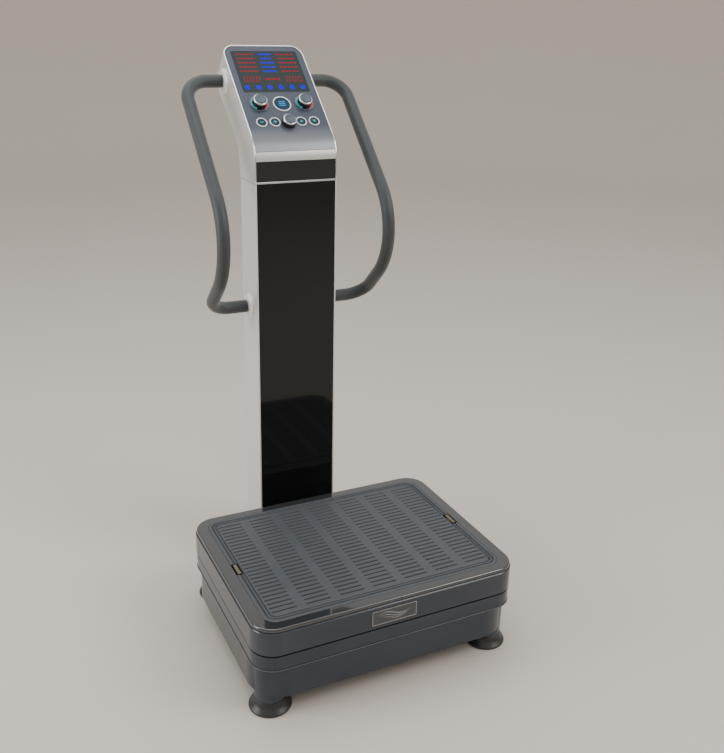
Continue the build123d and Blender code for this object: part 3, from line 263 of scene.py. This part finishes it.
# the mat's grooves hold shade: the tone falls with height below its top
nt = M["mat"].node_tree
b = next(n for n in nt.nodes if n.type == "BSDF_PRINCIPLED")
src = b.inputs["Base Color"].links[0].from_socket
tc = nt.nodes.new("ShaderNodeTexCoord")
sep = nt.nodes.new("ShaderNodeSeparateXYZ")
nt.links.new(tc.outputs["Object"], sep.inputs["Vector"])
mr = nt.nodes.new("ShaderNodeMapRange")
mr.inputs["From Min"].default_value = 0.2418
mr.inputs["From Max"].default_value = 0.24385
mr.inputs["To Min"].default_value = 0.22
mr.inputs["To Max"].default_value = 1.0
nt.links.new(sep.outputs["Z"], mr.inputs["Value"])
mul = nt.nodes.new("ShaderNodeMix")
mul.data_type = "RGBA"
mul.inputs["A"].default_value = (0.006, 0.007, 0.008, 1)
nt.links.new(mr.outputs["Result"], mul.inputs["Factor"])
nt.links.new(src, mul.inputs["B"])
nt.links.new(mul.outputs["Result"], b.inputs["Base Color"])

# console film: slate blue that fades to silver on the curved lower part; the silver is partly the film's own tone and
# partly a painted reflection
m, nt, b = new_mat("console_film")
L = nt.links
tc = nt.nodes.new("ShaderNodeTexCoord")
sep = nt.nodes.new("ShaderNodeSeparateXYZ")
L.new(tc.outputs["Object"], sep.inputs["Vector"])
mr = nt.nodes.new("ShaderNodeMapRange")
mr.interpolation_type = "SMOOTHSTEP"
mr.inputs["From Min"].default_value = 1.197
mr.inputs["From Max"].default_value = 1.262
L.new(sep.outputs["Z"], mr.inputs["Value"])
no = nt.nodes.new("ShaderNodeTexNoise")
no.inputs["Scale"].default_value = 1500.0
no.inputs["Detail"].default_value = 5.0
L.new(tc.outputs["Object"], no.inputs["Vector"])
nb = nt.nodes.new("ShaderNodeTexNoise")
nb.inputs["Scale"].default_value = 5.0
L.new(tc.outputs["Object"], nb.inputs["Vector"])
slate = nt.nodes.new("ShaderNodeMix")
slate.data_type = "RGBA"
slate.inputs["A"].default_value = (0.052, 0.064, 0.090, 1)
slate.inputs["B"].default_value = (0.074, 0.088, 0.118, 1)
L.new(nb.outputs["Fac"], slate.inputs["Factor"])
silver_tone_and_reflection = nt.nodes.new("ShaderNodeMix")
silver_tone_and_reflection.data_type = "RGBA"
silver_tone_and_reflection.inputs["A"].default_value = (0.30, 0.315, 0.345, 1)
silver_tone_and_reflection.inputs["B"].default_value = (0.36, 0.375, 0.40, 1)
L.new(no.outputs["Fac"], silver_tone_and_reflection.inputs["Factor"])
mx = nt.nodes.new("ShaderNodeMix")
mx.data_type = "RGBA"
L.new(mr.outputs["Result"], mx.inputs["Factor"])
L.new(silver_tone_and_reflection.outputs["Result"], mx.inputs["A"])
L.new(slate.outputs["Result"], mx.inputs["B"])
L.new(mx.outputs["Result"], b.inputs["Base Color"])
rr = nt.nodes.new("ShaderNodeMapRange")
rr.inputs["To Min"].default_value = 0.26
rr.inputs["To Max"].default_value = 0.36
L.new(nb.outputs["Fac"], rr.inputs["Value"])
L.new(rr.outputs["Result"], b.inputs["Roughness"])
b.inputs["Metallic"].default_value = 0.15
b.inputs["Specular IOR Level"].default_value = 0.25
bp = nt.nodes.new("ShaderNodeBump")
bp.inputs["Strength"].default_value = 0.06
bp.inputs["Distance"].default_value = 0.0001
L.new(no.outputs["Fac"], bp.inputs["Height"])
L.new(bp.outputs["Normal"], b.inputs["Normal"])
M["fascia"] = m


def paint(obj, mat):
    if obj.data.materials:
        for i in range(len(obj.data.materials)):
            obj.data.materials[i] = mat
    else:
        obj.data.materials.append(mat)


slot_of = {s["node"]: s["material_slot"] for s in record["subparts"]}
for name, obj in nodes.items():
    paint(obj, M[slot_of[name]])
paint(nodes["dial_bezels"], M["bezel"])
paint(nodes["joint_trim"], M["polished"])
M["flange"] = surface("flange_lacquer", (0.80, 0.80, 0.795), (0.88, 0.88, 0.875), rough=(0.16, 0.26),
                      metallic=0.1, blotch=20.0, grain=1500.0, bump=0.05, coat=0.4, coat_rough=0.06)
paint(nodes["handle_flanges"], M["flange"])
# lighter grey for the lip bead is a painted highlight along the lip's edge; the same material colours the dial
# pointers
M["lip"] = surface("lip_highlight_and_pointer_grey", (0.075, 0.088, 0.104), (0.11, 0.124, 0.142), rough=(0.22, 0.34),
                   blotch=12.0, grain=1300.0, bump=0.06, coat=0.3)


# ------------------------------------------------------------------
# mesh helpers
# ------------------------------------------------------------------
def obj_from(name, bm, mat, body, smooth=True, bevel=0.0, segs=2, angle=35.0):
    bmesh.ops.recalc_face_normals(bm, faces=bm.faces[:])
    me = bpy.data.meshes.new(name)
    bm.to_mesh(me)
    bm.free()
    o = bpy.data.objects.new(name, me)
    bpy.context.scene.collection.objects.link(o)
    o.data.materials.append(mat)
    if bevel > 0:
        bv = o.modifiers.new("bevel", "BEVEL")
        bv.width = bevel * MM
        bv.segments = segs
        bv.limit_method = "ANGLE"
        bv.angle_limit = math.radians(angle)
        bv.harden_normals = False
    if smooth:
        for p in me.polygons:
            p.use_smooth = True
        me.update()
        wn = o.modifiers.new("wn", "WEIGHTED_NORMAL")
        wn.keep_sharp = True
    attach(o, body)
    return o


def mark_sharp(bm, deg=40.0):
    for e in bm.edges:
        if len(e.link_faces) == 2 and e.calc_face_angle(0.0) > math.radians(deg):
            e.smooth = False


def lathe(profile, mat4, segs=64, ridges=0, ridge_d=0.0, ridge_from=None):
    """Surface of revolution about local Z from (r, z) points in mm."""
    bm = bmesh.new()
    rings = []
    for k, (r, z) in enumerate(profile):
        if r < 1e-6:
            rings.append([bm.verts.new(mat4 @ Vector((0, 0, z * MM)))])
            continue
        ring = []
        for i in range(segs):
            a = 2 * math.pi * i / segs
            rr_ = r
            if ridges and ridge_from and ridge_from[0] <= z <= ridge_from[1]:
                rr_ = r - ridge_d * (0.5 - 0.5 * math.cos(a * ridges))
            ring.append(bm.verts.new(mat4 @ Vector((rr_ * math.cos(a) * MM, rr_ * math.sin(a) * MM, z * MM))))
        rings.append(ring)
    for a, b_ in zip(rings, rings[1:]):
        n = max(len(a), len(b_))
        for i in range(n):
            j = (i + 1) % n
            if len(a) == 1:
                bm.faces.new((a[0], b_[j], b_[i]))
            elif len(b_) == 1:
                bm.faces.new((a[i], a[j], b_[0]))
            else:
                bm.faces.new((a[i], a[j], b_[j], b_[i]))
    return bm


def round_rect(hw, hd, r, n=10):
    """Outline of a rounded rectangle, counter-clockwise, mm."""
    pts = []
    for cx, cy, a0 in ((hw - r, hd - r, 0), (-hw + r, hd - r, 90), (-hw + r, -hd + r, 180), (hw - r, -hd + r, 270)):
        for i in range(n + 1):
            a = math.radians(a0 + 90.0 * i / n)
            pts.append((cx + r * math.cos(a), cy + r * math.sin(a)))
    return pts


def plate_from(points, z0, z1, mat4):
    """Straight-sided plate from an outline in local XY, mm."""
    bm = bmesh.new()
    lo = [bm.verts.new(mat4 @ Vector((x * MM, y * MM, z0 * MM))) for x, y in points]
    hi = [bm.verts.new(mat4 @ Vector((x * MM, y * MM, z1 * MM))) for x, y in points]
    n = len(points)
    bm.faces.new(lo[::-1])
    bm.faces.new(hi)
    for i in range(n):
        j = (i + 1) % n
        bm.faces.new((lo[i], lo[j], hi[j], hi[i]))
    return bm


def merge(bms):
    out = bmesh.new()
    for x in bms:
        me = bpy.data.meshes.new("tmp")
        x.to_mesh(me)
        x.free()
        out.from_mesh(me)
        bpy.data.meshes.remove(me)
    return out


def sector(r0, r1, a0, a1, n=24):
    pts = []
    for i in range(n + 1):
        a = math.radians(a0 + (a1 - a0) * i / n)
        pts.append((r1 * math.cos(a), r1 * math.sin(a)))
    for i in range(n + 1):
        a = math.radians(a1 + (a0 - a1) * i / n)
        pts.append((r0 * math.cos(a), r0 * math.sin(a)))
    return pts


def shift(pts, dx, dy):
    return [(x + dx, y + dy) for x, y in pts]


# ------------------------------------------------------------------
# standing mat: grooved border, seven columns of cross grooves
# ------------------------------------------------------------------
MAT_HW, MAT_HD, MAT_R = 312.0, 236.0, 34.0
ZT, ZB = 244.0, 238.0
bm = bmesh.new()
border = [
    (0.0, ZB), (0.0, 242.4), (0.5, 243.3), (1.6, ZT - 0.1), (2.6, ZT),
    (7.4, ZT), (8.4, 243.3), (9.0, 242.1), (10.6, 241.8), (12.2, 242.1), (12.8, 243.3), (13.8, ZT),
    (15.6, ZT), (16.6, 243.3), (17.2, 242.2), (18.6, 241.9), (20.0, 242.2), (20.6, 243.3), (21.6, ZT),
]
rings = []
for inset, z in border:
    pts = round_rect(MAT_HW - inset, MAT_HD - inset, max(MAT_R - inset, 6.0), 12)
    rings.append([bm.verts.new(V(x, y, z)) for x, y in pts])
for a, c in zip(rings, rings[1:]):
    n = len(a)
    for i in range(n):
        j = (i + 1) % n
        bm.faces.new((a[i], a[j], c[j], c[i]))
bm.faces.new(rings[0][::-1])
# grid of grooves
N_COL, N_ROW, PITCH_X = 7, 26, 85.7
GX0, G_LEN, G_W, G_D, BEV = -288.3, 62.5, 5.4, 2.3, 1.2
Y_LO, Y_HI = -207.0, 207.0
PITCH_Y = (Y_HI - Y_LO) / N_ROW
xs = [-291.0]
for k in range(N_COL):
    x0 = GX0 + PITCH_X * k
    xs += [x0, x0 + BEV, x0 + G_LEN - BEV, x0 + G_LEN]
xs.append(291.0)
ys = [-211.5]
for j in range(N_ROW):
    y0 = Y_LO + PITCH_Y * (j + 0.5) - G_W / 2
    ys += [y0, y0 + BEV, y0 + G_W - BEV, y0 + G_W]
ys.append(211.5)
# the border's inner edge must stay outside the grid's corners
xs[0], xs[-1] = -289.2, 289.2
grid = [[None] * len(ys) for _ in xs]
for i, x in enumerate(xs):
    for j, y in enumerate(ys):
        deep = 0 < i < len(xs) - 1 and 0 < j < len(ys) - 1 and (i - 1) % 4 in (1, 2) and (j - 1) % 4 in (1, 2)
        grid[i][j] = bm.verts.new(V(x, y, ZT - (G_D if deep else 0.0)))
for i in range(len(xs) - 1):
    for j in range(len(ys) - 1):
        bm.faces.new((grid[i][j], grid[i + 1][j], grid[i + 1][j + 1], grid[i][j + 1]))
bm.edges.ensure_lookup_table()
loop_edges = []
last = rings[-1]
for i in range(len(last)):
    loop_edges.append(bm.edges.get((last[i], last[(i + 1) % len(last)])))
for i in range(len(xs) - 1):
    loop_edges.append(bm.edges.get((grid[i][0], grid[i + 1][0])))
    loop_edges.append(bm.edges.get((grid[i][-1], grid[i + 1][-1])))
for j in range(len(ys) - 1):
    loop_edges.append(bm.edges.get((grid[0][j], grid[0][j + 1])))
    loop_edges.append(bm.edges.get((grid[-1][j], grid[-1][j + 1])))
bmesh.ops.triangle_fill(bm, edges=loop_edges, use_beauty=True, use_dissolve=False)
mark_sharp(bm, 25.0)
mat_obj = obj_from("standing_mat", bm, M["mat"], "platform")
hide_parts("tread_mat")
# notches for the strap anchors
cut_bm = bmesh.new()
for sx in (-1, 1):
    g = bmesh.ops.create_cube(cut_bm, size=1.0)["verts"]
    bmesh.ops.scale(cut_bm, verts=g, vec=(20 * MM, 50 * MM, 16 * MM))
    bmesh.ops.translate(cut_bm, verts=g, vec=V(sx * 304, -2, 242))
cme = bpy.data.meshes.new("notch")
cut_bm.to_mesh(cme)
cut_bm.free()
cutter = bpy.data.objects.new("notch", cme)
bpy.context.scene.collection.objects.link(cutter)
bo = mat_obj.modifiers.new("notch", "BOOLEAN")
bo.operation = "DIFFERENCE"
bo.solver = "EXACT"
bo.object = cutter
while mat_obj.modifiers[0].name != "notch":
    bpy.context.view_layer.objects.active = mat_obj
    bpy.ops.object.modifier_move_up(modifier="notch")
dg = bpy.context.evaluated_depsgraph_get()
mat_obj.modifiers["wn"].show_viewport = False
dg.update()
new_me = bpy.data.meshes.new_from_object(mat_obj.evaluated_get(dg))
mat_obj.modifiers.clear()
old_me = mat_obj.data
mat_obj.data = new_me
bpy.data.meshes.remove(old_me)
bpy.data.objects.remove(cutter)
wn = mat_obj.modifiers.new("wn", "WEIGHTED_NORMAL")
wn.keep_sharp = True

# ------------------------------------------------------------------
# fine bead on the edge of the housing's lip, its lighter grey a painted edge highlight
# ------------------------------------------------------------------
bm = bmesh.new()
loops = []
for w_, z in ((345.0 - 1.2, 133.1), (345.15, 133.1), (345.3, 133.5), (345.3, 134.6), (345.15, 135.0), (345.0 - 1.2, 135.0)):
    d_ = w_ - (345.0 - 264.5)
    loops.append([bm.verts.new(V(x, y, z)) for x, y in round_rect(w_, d_, 58.0 + w_ - 345.0, 12)])
for k in range(len(loops)):
    a, c = loops[k], loops[(k + 1) % len(loops)]
    for i in range(len(a)):
        j = (i + 1) % len(a)
        bm.faces.new((a[i], a[j], c[j], c[i]))
obj_from("housing_lip_highlight_bead", bm, M["lip"], "base")

# ------------------------------------------------------------------
# nameplate: ground plate, bright raised border and a plain wave emblem
# ------------------------------------------------------------------
NP = Matrix.Translation(V(-6, -264.5, 203)) @ Matrix((
    (1, 0, 0, 0), (0, 0, -1, 0), (0, 1, 0, 0), (0, 0, 0, 1)))
bm = plate_from(round_rect(58.6, 19.1, 2.2, 4), -0.8, 0.45, NP)
np_obj = obj_from("nameplate_back", bm, M["plate"], "platform", bevel=0.2)
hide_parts("nameplate")
bm = bmesh.new()
outer = round_rect(58.8, 19.3, 2.4, 4)
inner = round_rect(56.6, 17.1, 1.2, 4)
for z0, z1 in ((-0.7, 0.95),):
    o0 = [bm.verts.new(NP @ Vector((x * MM, y * MM, z0 * MM))) for x, y in outer]
    o1 = [bm.verts.new(NP @ Vector((x * MM, y * MM, z1 * MM))) for x, y in outer]
    i0 = [bm.verts.new(NP @ Vector((x * MM, y * MM, z0 * MM))) for x, y in inner]
    i1 = [bm.verts.new(NP @ Vector((x * MM, y * MM, z1 * MM))) for x, y in inner]
    n = len(outer)
    for i in range(n):
        j = (i + 1) % n
        bm.faces.new((o0[i], o0[j], o1[j], o1[i]))
        bm.faces.new((o1[i], o1[j], i1[j], i1[i]))
        bm.faces.new((i1[i], i1[j], i0[j], i0[i]))
        bm.faces.new((i0[i], i0[j], o0[j], o0[i]))
obj_from("nameplate_border", bm, M["plate_bright"], "platform", bevel=0.25)


def ribbon(fn, n, w, z0, z1, mat4):
    """Flat strip of varying width along a curve t -> (x, y)."""
    up, dn = [], []
    for i in range(n + 1):
        t = i / n
        x, y = fn(t)
        x2, y2 = fn(min(t + 0.01, 1.0))
        x1, y1 = fn(max(t - 0.01, 0.0))
        dx, dy = x2 - x1, y2 - y1
        l = math.hypot(dx, dy) or 1.0
        ww = w * (0.25 + 0.75 * math.sin(math.pi * t)) / 2
        up.append((x - dy / l * ww, y + dx / l * ww))
        dn.append((x + dy / l * ww, y - dx / l * ww))
    return plate_from(dn + up[::-1], z0, z1, mat4)


strips = []
for k, (amp, y0, w) in enumerate(((6.0, 5.0, 3.4), (5.0, -1.0, 2.6), (4.0, -6.5, 2.0))):
    strips.append(ribbon(lambda t, amp=amp, y0=y0, k=k: (-44 + 5 * k + (86 - 10 * k) * t,
                                                        y0 + amp * math.sin(2 * math.pi * t + 0.4 * k)),
                         40, w, 0.3, 0.95, NP))
obj_from("nameplate_emblem", merge(strips), M["plate_bright"], "platform", bevel=0.2, angle=60)

# ------------------------------------------------------------------
# console trim: polished line along the head's front edge
# ------------------------------------------------------------------
def trim_path(sx):
    """Points (position, outward normal) up one side of the head."""
    pts = []
    xm = sx * (COL_HW - 1.8)
    for z in (1121.9, 1135.0, 1150.0, 1162.0):
        pts.append((V(xm, COL_F, z), Vector((0, -1, 0)), Vector((1, 0, 0))))
    for i in range(17):
        t = math.radians(ARC_T * i / 16)
        pts.append((V(xm, COL_F + R_HEAD - R_HEAD * math.cos(t), Z_ARC + R_HEAD * math.sin(t)),
                    Vector((0, -math.cos(t), math.sin(t))), Vector((1, 0, 0))))
    return pts


def deck_pt(x, s):
    return V(x, A_Y + UX * s, A_Z + UZ * s)


DN = Vector((0, -UZ, UX))
RC_T = 38.0 - 1.8
centre_s = S_TOP + 2 - 38.0
path = []
for p, nrm, wd in trim_path(-1):
    path.append((p, nrm, Vector((1, 0, 0))))
xm = COL_HW - 1.8
for s in (60.0, 130.0, 200.0, centre_s):
    path.append((deck_pt(-xm, s), DN, Vector((1, 0, 0))))
for i in range(1, 13):
    a = math.radians(180 - 90 * i / 12)
    cx, cs = -(COL_HW - 38.0), centre_s
    s = min(cs + RC_T * math.sin(a), S_TOP - 1.2)
    d2 = -(Vector((1, 0, 0)) * math.cos(a) + Vector((0, UX, UZ)) * math.sin(a))
    path.append((deck_pt(cx + RC_T * math.cos(a), s), DN, d2))
right = []
for p, nrm, wd in path:
    right.append((Vector((-p.x, p.y, p.z)), nrm, Vector((-wd.x, wd.y, wd.z))))
full = path + right[::-1]
bm = bmesh.new()
secs = []
for p, nrm, wd in full:
    q = []
    for w_, h_ in ((-1.7, -0.9), (-1.7, 0.15), (-1.1, 0.5), (1.1, 0.5), (1.7, 0.15), (1.7, -0.9)):
        q.append(bm.verts.new(p + wd * w_ * MM + nrm * h_ * MM))
    secs.append(q)
for a, c in zip(secs, secs[1:]):
    for i in range(6):
        j = (i + 1) % 6
        bm.faces.new((a[i], a[j], c[j], c[i]))
bm.faces.new(secs[0][::-1])
bm.faces.new(secs[-1])
mark_sharp(bm, 30.0)
obj_from("head_edge_trim", bm, M["polished"], "base")

# ------------------------------------------------------------------
# dials: black ribbed skirt, polished collar, slate top with a pointer
# ------------------------------------------------------------------
def make_dial(body, x, s, r, base, h):
    m4 = deck_matrix(x, s, 0)
    prof = [(3.0, base), (r - 0.6, base), (r, base + 0.6), (r, base + 1.4)]
    prof += [(r, base + 2.0 + k * (h - 8.5) / 4) for k in range(5)]
    prof += [(r - 0.8, base + h - 6.0), (r - 0.8, base + h - 5.4), (3.0, base + h - 5.4)]
    bm1 = lathe(prof, m4, 144, ridges=36, ridge_d=0.7, ridge_from=(base + 1.9, base + h - 6.4))
    mark_sharp(bm1, 35.0)
    sk = obj_from(f"{body}_skirt", bm1, M["knob"], body)
    rc = r - 0.7
    prof = [(rc - 2.2, base + h - 5.6), (rc, base + h - 5.4), (rc + 0.5, base + h - 4.6), (rc + 0.4, base + h - 2.6),
            (rc - 0.4, base + h - 1.2), (rc - 1.8, base + h - 0.6), (rc - 2.8, base + h - 0.9), (rc - 3.0, base + h - 2.4)]
    bm2 = lathe(prof, m4, 96)
    mark_sharp(bm2, 50.0)
    obj_from(f"{body}_collar", bm2, M["polished"], body)
    rt = rc - 2.7
    prof = [(rt, base + h - 3.0), (rt, base + h + 0.4), (rt - 0.5, base + h + 1.2), (rt - 1.6, base + h + 1.6),
            (rt - 3.6, base + h + 1.5), (rt * 0.5, base + h + 1.15), (0.0, base + h + 1.0)]
    bm3 = lathe(prof, m4, 72)
    mark_sharp(bm3, 60.0)
    obj_from(f"{body}_top", bm3, M["knob_top"], body)
    pr = deck_matrix(x, s, 0)
    bm4 = plate_from(shift(round_rect(0.7, 2.6, 0.6, 4), 0, rt - 4.6), base + h + 1.0, base + h + 1.75, pr)
    obj_from(f"{body}_pointer", bm4, M["lip"], body, bevel=0.1)
    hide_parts(body, f"{body}_cap")


make_dial("left_dial", -DIAL_X, DIAL_S, 19.0, 3.8, 15.0)
make_dial("right_dial", DIAL_X, DIAL_S, 19.0, 3.8, 15.0)
make_dial("centre_dial", 0.0, CDIAL_S, 18.4, 0.4, 16.5)

# lit arcs and fine scale marks round the two large dials
rings_bm, cy_bm, rd_bm, tick_bm = [], [], [], []
for x in (-DIAL_X, DIAL_X):
    m4 = deck_matrix(x, DIAL_S, 0)
    rings_bm.append(lathe([(15.0, 2.6), (15.0, 2.9), (24.0, 2.9), (24.3, 2.6)], m4, 96))
    cy_bm.append(plate_from(sector(19.6, 22.6, 125, 238), 2.8, 3.3, m4))
    rd_bm.append(plate_from(sector(19.6, 22.6, -58, 30), 2.8, 3.3, m4))
    for k in range(10):
        a = -40 + 26 * k
        ca, sa = math.cos(math.radians(a)), math.sin(math.radians(a))
        pts = [(23.1 * ca - w * sa, 23.1 * sa + w * ca) for w in (-0.28, 0.28)] + \
              [(24.0 * ca - w * sa, 24.0 * sa + w * ca) for w in (0.28, -0.28)]
        tick_bm.append(plate_from(pts, 2.7, 3.05, m4))
sr = obj_from("dial_dark_rings", merge(rings_bm), M["black_gloss"], "base")
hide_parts("dial_scale_rings")
obj_from("dial_cyan_arcs", merge(cy_bm), M["cyan_arc"], "base", bevel=0.15, angle=60)
obj_from("dial_red_arcs", merge(rd_bm), M["red_arc"], "base", bevel=0.15, angle=60)
obj_from("dial_marks", merge(tick_bm), M["white_ring"], "base", smooth=False)


# ------------------------------------------------------------------
# buttons: domed lit caps with plain symbols
# ------------------------------------------------------------------
def rect(hw, hh, dx=0.0, dy=0.0):
    return shift(round_rect(hw, hh, min(hw, hh) * 0.6, 3), dx, dy)


def domed(name, body, x, s, r, mat, replaces_node):
    m4 = deck_matrix(x, s, 0)
    prof = [(3.0, -3.6), (r, -3.6), (r, 0.6), (r - 0.35, 1.15), (r - 1.1, 1.45), (r * 0.7, 1.62), (r * 0.35, 1.7), (0.0, 1.72)]
    bmx = lathe(prof, m4, 64)
    mark_sharp(bmx, 50.0)
    o = obj_from(name, bmx, mat, body)
    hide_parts(replaces_node)
    return m4


m4 = domed("start_cap", "start_button", 0.0, START_S, 21.2, M["blue_button"], "start_button")
bars = [plate_from(rect(9.5, 1.9, 0, dy), 1.3, 1.95, m4) for dy in (6.2, 0.0, -6.2)]
obj_from("start_symbol", merge(bars), M["icon_blue"], "start_button", bevel=0.2, angle=60)
symbols = {
    1: [rect(5.0, 1.1)],
    2: [rect(5.0, 1.1), rect(1.1, 5.0)],
    3: [[(-4.6, -3.0), (4.6, -3.0), (0.0, 4.6)]],
    4: [[(-4.6, 3.0), (0.0, -4.6), (4.6, 3.0)]],
}
for k, x in enumerate(BTN_X):
    m4 = domed(f"button_{k + 1}_cap", f"button_{k + 1}", x, BTN_S, 11.6, M["teal_button"], f"button_{k + 1}")
    parts = [plate_from(p, 1.2, 1.95, m4) for p in symbols[k + 1]]
    obj_from(f"button_{k + 1}_symbol", merge(parts), M["icon_light"], f"button_{k + 1}", bevel=0.15, angle=60)

# rounded light rings round the buttons
ring_bms = []
for x, s, r0, r1 in [(0.0, START_S, 21.8, 25.0)] + [(x, BTN_S, 12.1, 14.8) for x in BTN_X]:
    m4 = deck_matrix(x, s, 0)
    rm = (r0 + r1) / 2
    hw = (r1 - r0) / 2
    prof = [(r0, -0.6), (r0, 1.0)]
    prof += [(rm - hw * math.cos(math.radians(a)), 1.0 + 0.9 * math.sin(math.radians(a))) for a in (30, 60, 90, 120, 150)]
    prof += [(r1, 1.0), (r1, -0.6)]
    ring_bms.append(lathe(prof, m4, 72))
rg = obj_from("button_light_rings", merge(ring_bms), M["white_ring"], "base")
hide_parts("button_rings")

# ------------------------------------------------------------------
# stage: pale floor that curves up far away, soft light, camera
# ------------------------------------------------------------------
bm = bmesh.new()
prof = [(0.0, 0.0)] + [(r, 0.0) for r in (2.0, 4.0, 6.0, 7.5)]
prof += [(7.5 + 3.0 * math.sin(math.radians(a)), 3.0 - 3.0 * math.cos(math.radians(a))) for a in range(10, 91, 10)]
rs = []
for r, z in prof:
    if r == 0:
        rs.append([bm.verts.new((0, 0, 0))])
    else:
        rs.append([bm.verts.new((r * math.cos(2 * math.pi * i / 96), r * math.sin(2 * math.pi * i / 96), z)) for i in range(96)])
for a, c in zip(rs, rs[1:]):
    for i in range(96):
        j = (i + 1) % 96
        if len(a) == 1:
            bm.faces.new((a[0], c[i], c[j]))
        else:
            bm.faces.new((a[i], a[j], c[j], c[i]))
me = bpy.data.meshes.new("floor")
bmesh.ops.recalc_face_normals(bm, faces=bm.faces[:])
if bm.faces[0].normal.z < 0:
    bmesh.ops.reverse_faces(bm, faces=bm.faces[:])
bm.to_mesh(me)
bm.free()
for p in me.polygons:
    p.use_smooth = True
floor = bpy.data.objects.new("floor", me)
bpy.context.scene.collection.objects.link(floor)
fm = surface("floor_pale", (0.61, 0.552, 0.488), (0.65, 0.592, 0.528), rough=(0.5, 0.6), blotch=0.6, grain=60.0,
             bump=0.0, spec=0.25)
floor.data.materials.append(fm)

world = bpy.data.worlds.new("studio")
bpy.context.scene.world = world
world.use_nodes = True
bg = world.node_tree.nodes["Background"]
bg.inputs["Color"].default_value = (1.0, 0.985, 0.962, 1)
bg.inputs["Strength"].default_value = 0.75


def area(name, loc, target, size, power, col=(1, 1, 1)):
    ld = bpy.data.lights.new(name, "AREA")
    ld.shape = "RECTANGLE"
    ld.size, ld.size_y = size
    ld.energy = power
    ld.color = col
    o = bpy.data.objects.new(name, ld)
    bpy.context.scene.collection.objects.link(o)
    o.location = loc
    o.rotation_mode = "QUATERNION"
    o.rotation_quaternion = (Vector(target) - Vector(loc)).to_track_quat("-Z", "Y")
    return o


area("key", (2.6, -2.6, 3.4), (0, 0.0, 0.6), (2.2, 2.2), 90, (1.0, 0.985, 0.96))
area("top", (-0.3, 0.4, 4.2), (0, 0, 0.5), (3.0, 3.0), 60, (1.0, 0.99, 0.97))
area("left", (-3.2, 0.3, 1.7), (0, 0.2, 0.8), (1.4, 2.2), 62, (0.99, 0.99, 1.0))

F_PX, CX, CY = 894.165, 343.776, 345.831
AZ_, EL_, ROLL = math.radians(-25.293), math.radians(19.228), math.radians(0.884)
back = Vector((math.sin(AZ_) * math.cos(EL_), -math.cos(AZ_) * math.cos(EL_), math.sin(EL_)))
fwd = -back
rt = fwd.cross(Vector((0, 0, 1))).normalized()
up = rt.cross(fwd)
c_, s_ = math.cos(ROLL), math.sin(ROLL)
dn = -up
r0 = rt * c_ - dn * s_
r1 = rt * s_ + dn * c_
cam_d = bpy.data.cameras.new("camera")
cam = bpy.data.objects.new("camera", cam_d)
bpy.context.scene.collection.objects.link(cam)
X_, Y_, Z_ = r0, -r1, -fwd
loc = Vector((-879.2 * MM, (-1810.7 + YB) * MM, 1482.3 * MM))
cam.matrix_world = Matrix(((X_.x, Y_.x, Z_.x, loc.x), (X_.y, Y_.y, Z_.y, loc.y), (X_.z, Y_.z, Z_.z, loc.z), (0, 0, 0, 1)))
cam_d.sensor_width = 36.0
cam_d.sensor_fit = "AUTO"
cam_d.lens = F_PX / 753.0 * 36.0
cam_d.shift_x = (362.0 - CX) / 753.0
cam_d.shift_y = (CY - 376.5) / 753.0
cam_d.clip_start, cam_d.clip_end = 0.05, 100.0
bpy.context.scene.camera = cam
